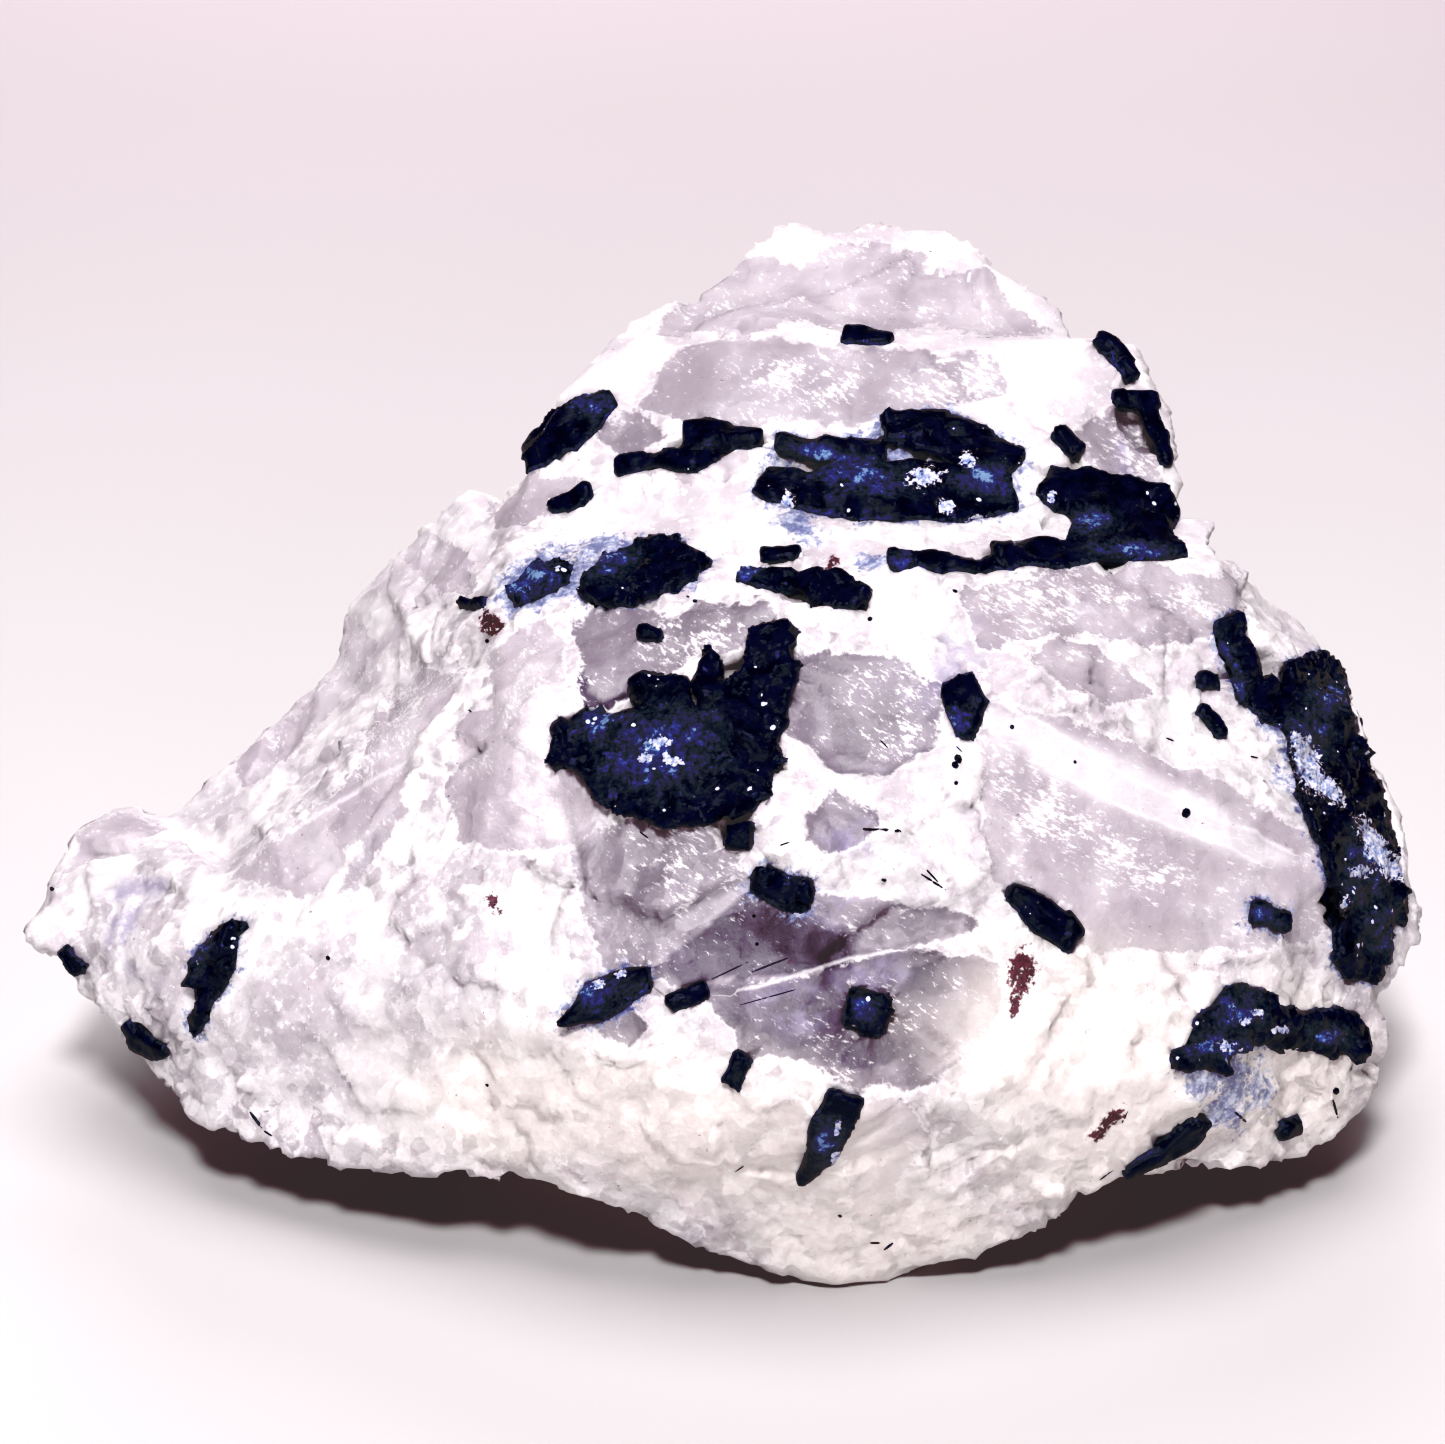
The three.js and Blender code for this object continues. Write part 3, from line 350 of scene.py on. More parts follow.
SPECKS = [
    (1186, 812, 0.42), (958, 758, 0.4), (955, 764, 0.34), (884, 879, 0.22), (956, 782, 0.18),
    (487, 1084, 0.16), (328, 957, 0.2), (872, 878, 0.14), (1012, 726, 0.2), (1075, 761, 0.15),
    (955, 590, 0.24), (1242, 1226, 0.3), (1336, 1090, 0.3), (487, 640, 0.16), (695, 600, 0.2),
    (688, 596, 0.16), (754, 915, 0.14), (757, 943, 0.14), (840, 1215, 0.14), (470, 710, 0.12),
    (52, 888, 0.2), (870, 618, 0.22), (575, 752, 0.24),
]

# The farther parts are worn smoother: from this far before the picture plane to this,
SOFT_FROM = (-5, -13)
# and here too: (x, y, reach along, reach across, turn in degrees)
SOFT = [(690, 510, 90, 30, -4), (880, 380, 160, 60, 0), (860, 545, 40, 10, 0), (1180, 540, 30, 20, 0)]
# and by this share of it here
LESS_SOFT_SHARE = 0.7
LESS_SOFT = [
    (700, 1150, 260, 60, 12), (880, 1230, 130, 60, 0), (1110, 1090, 130, 60, 0), (380, 1020, 260, 110, 25),
]

# The broad raised band on the right facet, lighter with painted light, and where painted glinting flecks
# gather
LIT_RIDGE = [
    (998, 712), (1040, 722), (1127, 762), (1215, 806), (1300, 862), (1262, 866), (1160, 826), (1037, 770),
]
PAINTED_GLINTS = [
    (1020, 782, 55, 18, 20), (1140, 868, 50, 16, 10), (1075, 830, 70, 22, 20), (1180, 800, 50, 10, 25),
    (1010, 600, 60, 22, 5), (1110, 590, 70, 16, 5), (1190, 600, 40, 16, 0), (560, 720, 50, 40, 40),
    (690, 880, 40, 30, 0), (900, 700, 30, 40, 0), (700, 640, 60, 30, 0), (380, 720, 30, 60, 30),
    (960, 385, 60, 30, 0), (1120, 450, 30, 30, 0), (800, 380, 60, 26, 0),
]

# Where the tourmaline shows blue, and where quartz covers it: (x, y, reach along, reach across, turn)
BLUE = [
    (660, 750, 70, 48, -10), (600, 720, 24, 30, 0), (530, 580, 40, 26, -30), (610, 560, 36, 20, -20),
    (805, 522, 34, 16, 0), (590, 990, 34, 24, 0), (1215, 1046, 60, 18, 5), (1308, 740, 30, 34, 0),
    (1365, 870, 26, 46, 0), (950, 722, 22, 18, 0), (860, 475, 60, 20, 10), (820, 455, 60, 12, 10),
    (1130, 550, 50, 12, 5), (825, 1140, 14, 34, 10), (200, 945, 12, 30, 10), (1265, 916, 22, 12, 20),
    (740, 570, 30, 10, 0), (900, 560, 16, 10, 0), (1230, 670, 14, 40, -20), (835, 1135, 12, 26, 10),
    (1385, 930, 24, 34, 0), (1330, 700, 26, 24, 0), (1240, 1010, 30, 26, 0), (1330, 1035, 30, 14, 0),
    (985, 480, 30, 20, 0), (1090, 520, 30, 16, 0), (590, 405, 24, 16, 0), (865, 1010, 16, 14, 0),
]
WINDOWS = [
    (968, 459, 8, 8, 0), (946, 506, 10, 7, 0), (975, 523, 13, 7, -20), (925, 477, 18, 10, -15),
    (1307, 764, 14, 27, -10), (1326, 786, 10, 24, -50), (1376, 846, 10, 32, -30), (1395, 868, 11, 14, 0),
    (1345, 905, 5, 10, 20), (1362, 872, 12, 7, 0), (1296, 738, 8, 7, 0), (1245, 1022, 6, 5, 0),
    (1282, 1030, 8, 4, 0), (1226, 1046, 8, 5, 0), (838, 1128, 4, 10, 10), (836, 1158, 5, 8, 0),
    (598, 985, 7, 5, 0), (621, 974, 6, 4, 0), (660, 742, 10, 6, 0), (672, 760, 12, 5, 20),
    (645, 757, 7, 6, 0), (788, 502, 7, 12, 0), (1258, 1012, 6, 4, 0), (1052, 497, 5, 7, 0),
    (585, 555, 12, 5, -40), (760, 458, 5, 9, 0),
]

# Steps in the flat fracture on the right: (x, y) to (x, y), and the height of the step
TERRACES = [
    ((985, 700), (1335, 868), 0.2), ((1010, 700), (1320, 842), 0.12), ((1040, 725), (1330, 885), 0.08),
]

# Crystals with a granular face; the others are striated along their length
GRANULAR = {
    "crystal_heart", "crystal_granular", "crystal_right_flank", "crystal_lower_right", "crystal_blue_left",
    "crystal_left_blade", "crystal_mid_pair", "crystal_hexagon", "crystal_granule", "crystal_oval",
}
# How far some tint the quartz round them blue, in millimetres
HALOS = {
    "crystal_blue_left": 0.8, "crystal_granular": 0.4, "crystal_long_band": 0.35, "crystal_blue_fan": 0.5,
    "crystal_left_blade": 0.4, "crystal_right_flank": 0.4, "crystal_bluish_window": 0.7, "crystal_oval": 0.35,
}
# Blue clouds in the quartz: (x, y, reach along, reach across, turn in degrees)
BLUE_CLOUDS = [
    (1226, 1078, 44, 28, 15), (1188, 1072, 26, 10, 0), (1226, 1108, 14, 30, -20), (800, 527, 24, 14, 20),
    (545, 574, 46, 26, -25), (602, 546, 30, 12, -10), (1306, 764, 34, 26, 30), (905, 480, 30, 16, 20),
    (870, 560, 16, 8, 0), (1376, 866, 30, 30, 0),
]


def smooth(low, high, value):
    """From 0 at one value to 1 at another, without a corner."""
    t = np.clip((value - low) / (high - low), 0, 1)
    return t * t * (3 - 2 * t)


def in_picture(points):
    """Where points show in the photograph, in its pixels, and how far they stand out of its plane."""
    away = points - DATUM
    near = away @ NEAR
    spread = EYE_DISTANCE / (EYE_DISTANCE - near) / PIXEL
    return PHOTO_MIDDLE[0] + away[:, 0] * spread, PHOTO_MIDDLE[1] - (away @ UP) * spread, near


def ray_through(x, y):
    """The eye, and the direction in which it sees a pixel."""
    eye = DATUM + NEAR * EYE_DISTANCE
    target = DATUM + np.array([(x - PHOTO_MIDDLE[0]) * PIXEL, 0, 0]) + UP * (PHOTO_MIDDLE[1] - y) * PIXEL
    return Vector(eye), Vector(target - eye).normalized()


def noise_of(points, scale, shift):
    return np.array([noise.noise(place) for place in (points * scale + shift).tolist()])


def noise_vectors(points, scale, shift):
    return np.array([noise.noise_vector(place)[:] for place in (points * scale + shift).tolist()])


def corners_of(mesh):
    points = np.empty(len(mesh.vertices) * 3, np.float32)
    mesh.vertices.foreach_get("co", points)
    return points.reshape(-1, 3).astype(float)


def faces_of(mesh):
    return [tuple(polygon.vertices) for polygon in mesh.polygons]


def linked(name, data):
    made = bpy.data.objects.new(name, data)
    bpy.context.collection.objects.link(made)
    return made


def mesh_object(name, points, faces):
    mesh = bpy.data.meshes.new(name)
    mesh.from_pydata(points, [], faces)
    return linked(name, mesh)


def remeshed(points, faces, voxel):
    """The same closed shape in even quads, as points and the quads' corner numbers."""
    holder = mesh_object("raw", points.tolist(), faces)
    modifier = holder.modifiers.new("Remesh", "REMESH")
    modifier.mode = "VOXEL"
    modifier.voxel_size = voxel
    graph = bpy.context.evaluated_depsgraph_get()
    made = bpy.data.meshes.new_from_object(holder.evaluated_get(graph), depsgraph=graph)
    bpy.data.objects.remove(holder)
    return corners_of(made), np.array([face for face in faces_of(made) if len(face) == 4])


def normals_of(points, quads):
    a, b, c, d = (points[quads[:, k]] for k in range(4))
    across = np.cross(c - a, d - b)
    total = np.zeros_like(points)
    for k in range(4):
        for axis in range(3):
            total[:, axis] += np.bincount(quads[:, k], across[:, axis], len(points))
    return total / np.maximum(np.linalg.norm(total, axis=1, keepdims=True), TINY)


def relaxed(points, quads, rounds, share):
    """Each point moved part of the way to its neighbours' middle, over and over."""
    start = np.concatenate([quads[:, k] for k in range(4)])
    end = np.concatenate([quads[:, (k + 1) % 4] for k in range(4)])
    count = np.bincount(start, minlength=len(points))[:, None] + TINY
    for _ in range(rounds):
        middle = np.stack([np.bincount(start, points[end, axis], len(points)) for axis in range(3)], 1)
        points = points + share * (middle / count - points)
    return points


def facets(points, size, slope, lift, rng, spacing):
    """Heights of a surface broken into flat cells of about that size, each tilted its own way."""
    count = max(FEWEST_CELLS, int(len(points) * (spacing / size) ** 2))
    chosen = points[rng.choice(len(points), count, replace=False)]
    tree = KDTree(count)
    for i, p in enumerate(chosen):
        tree.insert(p, i)
    tree.balance()
    wander = points + noise_vectors(points, BORDER_SCALE / size, size) * size * BORDER_STRAY
    nearest = np.array([tree.find(p)[1] for p in wander])
    tilt = rng.normal(size=(count, 3))
    tilt *= slope / np.linalg.norm(tilt, axis=1, keepdims=True)
    rise = rng.uniform(-lift, lift, count)
    return np.einsum("ij,ij->i", points - chosen[nearest], tilt[nearest]) + rise[nearest]


def broken(points, breaks, rng, spacing):
    """Heights of a surface broken into cells in several layers."""
    return sum(facets(points, size, slope, lift, rng, spacing) for size, slope, lift in breaks)


def spots(x, y, places, soft):
    """How far each picture position is inside a spot: 0 outside, 1 inside, with borders that soft."""
    value = np.zeros(len(x))
    for middle_x, middle_y, along, across, turn in places:
        c, s = math.cos(math.radians(turn)), math.sin(math.radians(turn))
        dx, dy = x - middle_x, y - middle_y
        out = np.hypot((dx * c + dy * s) / along, (dy * c - dx * s) / across)
        value = np.maximum(value, smooth(1 + soft, 1 - soft, out))
    return value


def inside_of(x, y, outline):
    """How far inside an outline each picture position is; negative outside."""
    corners = np.array(outline, float)
    nearest = np.full(len(x), np.inf)
    inside = np.zeros(len(x), bool)
    for (x0, y0), (x1, y1) in zip(corners, np.roll(corners, -1, axis=0)):
        nearest = np.minimum(nearest, from_line(x, y, (x0, y0), (x1, y1))[0])
        crosses = (y0 > y) != (y1 > y)
        edge = x0 + (y - y0) * (x1 - x0) / (y1 - y0 + TINY)
        inside ^= crosses & (x < edge)
    return np.where(inside, nearest, -nearest) * PIXEL


def from_line(x, y, start, end):
    """How far each picture position is from a straight stretch, in pixels, and on which side."""
    (x0, y0), (x1, y1) = start, end
    length = math.hypot(x1 - x0, y1 - y0)
    share = np.clip(((x - x0) * (x1 - x0) + (y - y0) * (y1 - y0)) / length**2, 0, 1)
    off = np.hypot(x - x0 - share * (x1 - x0), y - y0 - share * (y1 - y0))
    side = np.sign((y - y0) * (x1 - x0) - (x - x0) * (y1 - y0))
    return off, side


def crest_at(x, y):
    """How far each place is from the nearest crest, signed by its side, and how near that is."""
    nearest, signed = np.full(len(x), np.inf), np.zeros(len(x))
    for crest in CRESTS:
        for start, end in zip(crest, crest[1:]):
            off, side = from_line(x, y, start, end)
            signed = np.where(off < nearest, off * side, signed)
            nearest = np.minimum(nearest, off)
    return signed * PIXEL, smooth(*CREST_NEAR, nearest)


# Materials


class Nodes:
    """Short names for making and joining shader nodes."""

    MIX_FACTOR, MIX_FIRST, MIX_SECOND, MIX_RESULT = 0, 6, 7, 2  # sockets of a Mix node of colours

    def __init__(self, name):
        self.material = bpy.data.materials.new(name)
        self.material.use_nodes = True
        self.tree = self.material.node_tree
        self.shader = self.tree.nodes["Principled BSDF"]
        self.material.cycles.emission_sampling = "NONE"  # its faint glow is too weak to light the rest

    def add(self, kind, **settings):
        """A new node, with its properties, and its sockets where their names start with in_."""
        node = self.tree.nodes.new("ShaderNode" + kind)
        for key, value in settings.items():
            if key.startswith("in_"):
                self.feed(value, node.inputs[key[3:].replace("_", " ")])
            else:
                setattr(node, key, value)
        return node

    def feed(self, value, socket):
        """A socket's value, from another node or the same all over."""
        if isinstance(value, bpy.types.NodeSocket):
            self.tree.links.new(value, socket)
        else:
            socket.default_value = value

    def surface(self, **sockets):
        """What the surface's own sockets are fed with."""
        for name, value in sockets.items():
            self.feed(value, self.shader.inputs[name.replace("_", " ")])

    def swayed(self, value, name, *noises):
        """A value with noises laid on it, each round its middle and by its named amount."""
        for number, wave in enumerate(noises):
            value = self.plus(value, self.times(self.minus(wave, 0.5), SWAYS[name][number]))
        return value

    def level(self, value, name, *noises):
        """From 0 to 1 between the named levels, for a value that noises sway."""
        low, high = LEVELS[name]
        swayed = self.swayed(value, name, *noises)
        return self.add("MapRange", in_Value=swayed, in_From_Min=low, in_From_Max=high).outputs["Result"]

    def between(self, start, end, share):
        """A value that share of the way from one to another."""
        return self.add("MapRange", in_Value=share, in_To_Min=start, in_To_Max=end).outputs["Result"]

    def mix(self, factor, first, second, blend="MIX"):
        node = self.add("Mix", data_type="RGBA", blend_type=blend)
        self.feed(factor, node.inputs[self.MIX_FACTOR])
        self.feed(first, node.inputs[self.MIX_FIRST])
        self.feed(second, node.inputs[self.MIX_SECOND])
        return node.outputs[self.MIX_RESULT]

    def laid(self, base, mark, name):
        """The base with the named colour laid over it where it is marked."""
        return self.mix(self.times(mark, SHARES[name]), base, colour(name))

    def maths(self, operation, first, second=0.0):
        node = self.add("Math", operation=operation)
        self.feed(first, node.inputs[0])
        self.feed(second, node.inputs[1])
        return node.outputs[0]

    def plus(self, first, second):
        return self.maths("ADD", first, second)

    def minus(self, first, second):
        return self.maths("SUBTRACT", first, second)

    def times(self, first, second):
        return self.maths("MULTIPLY", first, second)

    def most(self, first, second):
        return self.maths("MAXIMUM", first, second)

    def vector(self, operation, first, second=None):
        node = self.add("VectorMath", operation=operation)
        self.feed(first, node.inputs[0])
        if second is not None:
            self.feed(second, node.inputs["Scale" if operation == "SCALE" else 1])
        return node.outputs["Value" if operation == "LENGTH" else "Vector"]

    def millimetres(self):
        """Positions on the object in millimetres."""
        return self.mapped(self.add("TexCoord").outputs["Object"], in_Scale=(1 / MM,) * 3)

    def mapped(self, place, **changes):
        return self.add("Mapping", in_Vector=place, **changes).outputs["Vector"]

    def parts(self, source):
        """The red, green and blue of a colour."""
        return tuple(self.add("SeparateColor", in_Color=source).outputs)

    def channels(self, name):
        """The four numbers that a colour attribute holds."""
        source = self.add("Attribute", attribute_name=name)
        return *self.parts(source.outputs["Color"]), source.outputs["Alpha"]

    def noise(self, place, name):
        scale, detail, roughness = NOISES[name]
        node = self.add("TexNoise", in_Scale=scale, in_Detail=detail, in_Roughness=roughness)
        self.feed(place, node.inputs["Vector"])
        return node.outputs["Fac"]

    def bump(self, height, depth, strength, under=None):
        node = self.add("Bump", in_Height=height, in_Distance=depth * MM, in_Strength=strength)
        if under:
            self.feed(under, node.inputs["Normal"])
        return node.outputs["Normal"]


def colour(name):
    return (*COLOURS[name], 1)


def dimmed(m, base):
    return m.mix(1.0, base, (ALBEDO, ALBEDO, ALBEDO, 1), "MULTIPLY")


def broken_cells(m, place, scale, stray):
    """Angular cells with uneven borders: the colour that each has of its own."""
    borders = m.add("TexNoise", in_Vector=place, in_Scale=scale * CELL_BORDERS, in_Detail=CELL_DETAIL)
    strayed = m.vector("ADD", place, m.vector("SCALE", borders.outputs["Color"], stray / scale))
    return m.add("TexVoronoi", in_Vector=strayed, in_Scale=scale).outputs["Color"]


def tilted(m, normal, cells, amount):
    """A normal turned another way in each cell."""
    lean = m.vector("SCALE", m.vector("SUBTRACT", cells, (0.5, 0.5, 0.5)), amount)
    return m.vector("NORMALIZE", m.vector("ADD", lean, normal))


def quartz_material():
    """Milky quartz: sugary white, with clear grey-lilac facets, clouds and stains where it is marked; painted
    highlights, bounce light, shade in a hollow and a faint glow lie on it too.
    """
    m = Nodes("quartz")
    place = m.millimetres()
    depth, dark, smoky, soft = m.channels("zones")
    haze, stain, cream, glints = m.channels("marks")
    crest, crest_near, violet, ridge = m.channels("lines")
    sharp = m.minus(1.0, m.times(soft, SOFT_DULLS))
    veil, mottle, sugar, fine = (m.noise(place, name) for name in ("veil", "mottle", "sugar", "fine"))
    large_cells = broken_cells(m, place, *LARGE_CELLS)
    small_cells = broken_cells(m, place, *SMALL_CELLS)
    large_tone, large_shade, _ = m.parts(large_cells)
    small_tone, _, _ = m.parts(small_cells)
    ripple = m.noise(m.mapped(m.mapped(place, in_Rotation=FACET_LIE), in_Scale=FACET_DRAWN), "ripple")

    # Where it is clear, and the bright rim round it
    edge = m.swayed(depth, "clear", mottle, fine)
    clear = m.level(edge, "clear")
    rim = m.times(m.level(m.maths("ABSOLUTE", edge), "rim"), sharp)

    # The milky parts
    tone = m.times(m.swayed(0.0, "milk", large_tone, small_tone, mottle), sharp)
    tone = m.plus(m.plus(tone, veil), m.times(cream, CREAM_LIGHTENS))
    tone = m.minus(tone, m.times(soft, SOFT_DARKENS))
    white = m.mix(m.level(tone, "milk"), colour("milk in shade"), colour("milk"))
    # Bright flecks: sugary grains, partly painted glinting highlights
    white = m.mix(m.level(sugar, "sugar"), white, colour("sugar"))
    white = m.laid(white, m.times(m.level(sugar, "pit"), sharp), "pit")

    # The clear parts
    tone = m.level(veil, "glass", large_shade)
    light = m.mix(tone, colour("glass in shade"), colour("glass"))
    deep = m.mix(tone, colour("dark glass in shade"), colour("dark glass"))
    # Painted light: a lighter band on the raised band of the right facet
    glass = m.laid(m.mix(dark, light, deep), ridge, "ridge")
    # Painted highlights: bright flecks on the ripples, gathered where marked
    painted_sparkle = m.plus(ripple, m.times(glints, GLINTS_ADD))
    glass = m.laid(glass, m.level(painted_sparkle, "painted_sparkle", m.noise(place, "cluster")), "painted_sparkle")

    # What lies over both
    base = m.mix(clear, white, glass)
    # Painted bounce light: a warm tint under the stone
    warm = m.mix(m.level(sugar, "cream"), colour("cream in shade"), colour("cream"))
    base = m.mix(m.times(cream, SHARES["cream"]), base, warm)
    base = m.laid(base, m.times(violet, m.level(mottle, "violet")), "violet")
    # Partly painted shade in the hollow
    base = m.laid(base, m.level(smoky, "smoke_and_shade", mottle), "smoke_and_shade")
    base = m.laid(base, rim, "rim")
    # Painted highlight lines along the facet edges
    line = m.level(m.maths("ABSOLUTE", m.swayed(crest, "crest", mottle)), "crest")
    base = m.laid(base, m.times(line, crest_near), "crest")
    paler = m.level(m.minus(sugar, m.times(haze, HAZE_DEEPENS)), "pale haze")
    blue = m.mix(paler, colour("blue haze"), colour("pale haze"))
    hazy = m.level(m.times(haze, HAZE_SPREADS), "haze", fine, mottle)
    hazy = m.times(hazy, m.level(haze, "haze near"))
    base = m.mix(m.times(hazy, SHARES["haze"]), base, blue)
    rust = m.mix(m.level(fine, "pale rust"), colour("rust"), colour("pale rust"))
    base = m.mix(m.level(stain, "rust", fine), base, rust)

    # Its relief, gloss and faint painted glow
    depth, strength = BUMPS["quartz"]
    relief = m.bump(m.noise(place, "quartz relief"), depth, m.times(sharp, strength))
    lean = m.times(m.between(*SMALL_LEAN, clear), sharp)
    dark_glass = m.times(dark, clear)
    glossy = m.minus(1.0, m.most(dark_glass, m.most(soft, smoky)))
    glow = m.plus(m.between(GLOW, 0.0, m.most(dark_glass, smoky)), m.times(cream, CREAM_GLOW))
    rough = m.plus(m.between(*ROUGHNESS, clear), m.times(dark, DARK_ROUGH))
    m.surface(
        Base_Color=dimmed(m, base),
        Roughness=rough,
        Normal=tilted(m, tilted(m, relief, large_cells, LARGE_LEAN), small_cells, lean),
        IOR=QUARTZ_IOR,
        Subsurface_Weight=0.3,
        Subsurface_Scale=0.6 * MM,
        Subsurface_Radius=(1.0, 0.85, 0.9),
        Coat_Weight=m.times(glossy, COAT),
        Coat_Normal=m.bump(ripple, *BUMPS["ripple"]),
        Coat_Roughness=0.06,
        Coat_IOR=QUARTZ_IOR,
        Emission_Color=m.mix(0.5, base, colour("glow")),
        Emission_Strength=glow,
    )
    return m.material


def tourmaline_material():
    """Blue-black tourmaline, striated or granular, blue or under quartz where it is marked, with painted
    highlights.
    """
    m = Nodes("tourmaline")
    place = m.millimetres()
    lay = m.add("Attribute", attribute_name="lay").outputs["Vector"]
    rim, blue, window, granular = m.channels("marks")
    cloud, flecks = m.noise(place, "cloud"), m.noise(place, "flecks")

    base = m.mix(m.level(cloud, "blue-black"), colour("black"), colour("blue-black"))
    bluish = m.swayed(blue, "blue", cloud, flecks)
    for name in ("dark blue", "blue", "light blue"):
        base = m.mix(m.level(bluish, name), base, colour(name))
    base = m.mix(m.level(rim, "fringe", flecks), base, colour("fringe"))

    # Round painted highlights, gathered in places
    sparks = m.add("TexVoronoi", in_Vector=place, in_Scale=SPARK_CELLS)
    chance = m.plus(m.parts(sparks.outputs["Color"])[0], m.times(granular, GRAINS_GLINT))
    size = m.times(m.level(chance, "gathered", m.noise(place, "gathering")), SPARK_REACH)
    glint = m.level(m.minus(size, sparks.outputs["Distance"]), "glint")
    base = m.mix(glint, base, colour("glint"))

    # Quartz that covers it
    pane = m.mix(m.level(flecks, "white pane"), colour("blue pane"), colour("white pane"))
    base = m.mix(m.level(window, "pane", cloud, flecks), base, pane)

    lines = m.bump(m.noise(lay, "striations"), *BUMPS["striations"])
    relief = m.bump(m.noise(place, "tourmaline relief"), *BUMPS["tourmaline"], lines)
    lean = m.plus(m.times(granular, GRAIN_LEAN), CRYSTAL_LEAN)
    m.surface(
        Base_Color=dimmed(m, base),
        Normal=tilted(m, relief, broken_cells(m, place, *GRAIN_CELLS), lean),
        IOR=TOURMALINE_IOR,
        Roughness=0.08,
        Specular_IOR_Level=0.13,
        Specular_Tint=colour("gloss"),
    )
    return m.material


# Shapes


def crystal_shapes(rng):
    """Each crystal's uneven surface, and the coordinates that its striations follow."""
    shapes = {}
    for name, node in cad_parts.items():
        if not name.startswith("crystal_"):
            continue
        points, quads = remeshed(corners_of(node.data) / MM, faces_of(node.data), CRYSTAL_VOXEL)
        middle = points.mean(axis=0)
        spread, axes = np.linalg.eigh(np.cov((points - middle).T))
        lay = (points - middle) @ axes[:, ::-1]
        width = 2 * math.sqrt(spread[1])
        least, share, most = BEND
        shift = len(name)
        points = points + noise_vectors(points, BEND_SCALE, shift) * min(most, least + share * width)
        normals = normals_of(points, quads)
        if name in GRANULAR:
            height = broken(points, GRANULAR_BREAKS, rng, CRYSTAL_VOXEL)
        else:
            rib = noise_of(lay * RIB_LIE, 1.0, shift)
            height = RIB_HEIGHT * rib + broken(points, STRIATED_BREAKS, rng, CRYSTAL_VOXEL)
        points = np.clip(points + normals * (height + SWELL)[:, None], BOX_LOW, BOX_HIGH)
        shapes[name] = (points, quads, lay)
    return shapes


def facets_at(x, y, front, points):
    """How far inside a clear facet each point is, and how dark that facet shows, from 0 to 1."""
    depth = np.full(len(x), -NOTHING_NEAR)
    dark = np.zeros(len(x))
    settled = np.zeros(len(x), bool)
    for tone, outline in FACETS:
        here = inside_of(x, y, outline)
        dark = np.where((here > depth) & ~settled, tone, dark)
        depth = np.maximum(depth, here)
        settled |= here > 0
    around = noise_of(points, *HIDDEN_NOISE)
    least, more = HIDDEN_TONE
    depth = front * depth + (1 - front) * ((around - HIDDEN_LEVEL) * HIDDEN_DEPTH)
    dark = front * dark + (1 - front) * (least + more * np.clip(around, 0, 1))
    lightest, span = TONE_RANGE
    return np.clip(depth, -MOST_DEPTH, MOST_DEPTH), np.clip((dark - lightest) / span, 0, 1)


def marks_on(points, normals):
    """How much each point of the skin faces the viewpoint, and what the quartz's look follows there."""
    x, y, near = in_picture(points)
    front = smooth(*FACING, normals @ NEAR)
    depth, dark = facets_at(x, y, front, points)
    stray = noise_vectors(points, *CLOUD_NOISE) * CLOUD_STRAY
    soft_x, soft_y = x + stray[:, 0], y + stray[:, 1]
    crest, crest_near = crest_at(x, y)
    worn = smooth(*SOFT_FROM, near) + spots(x, y, SOFT, soft=0.5)
    worn += LESS_SOFT_SHARE * spots(x, y, LESS_SOFT, soft=0.8)
    return front, {
        "depth": depth,
        "dark": dark,
        "soft": front * np.clip(worn, 0, 1),
        "smoky": front * spots(x, y, SMOKY_SHADE, soft=0.45),
        "cream": front * spots(soft_x, soft_y, CREAM_BOUNCE, soft=0.6) + (1 - front) * HIDDEN_CREAM,
        "violet": front * spots(soft_x, soft_y, VIOLET, soft=0.6),
        "stain": front * spots(x, y, STAINS, soft=0.4),
        "blue": front * spots(x, y, BLUE_CLOUDS, soft=0.9),
        "crest": crest,
        "crest_near": front * crest_near,
        "ridge": front * smooth(-EDGE, EDGE, inside_of(x, y, LIT_RIDGE)),
        "glints": front * spots(x, y, PAINTED_GLINTS, soft=0.7) + (1 - front) * HIDDEN_GLINTS,
    }


def terraced(height, x, y, front):
    """The heights with the steps in the right facet on them."""
    for (x0, y0), (x1, y1), step in TERRACES:
        length = math.hypot(x1 - x0, y1 - y0)
        along = ((x - x0) * (x1 - x0) + (y - y0) * (y1 - y0)) / length
        below = ((y - y0) * (x1 - x0) - (x - x0) * (y1 - y0)) / length
        ends = smooth(-TERRACE_ENDS, TERRACE_ENDS, along)
        ends = ends * smooth(length + TERRACE_ENDS, length - TERRACE_ENDS, along)
        reach = ends * smooth(*TERRACE_REACH, np.abs(below))
        height = height + step * front * reach * smooth(TERRACE_EDGE, -TERRACE_EDGE, below)
    return height


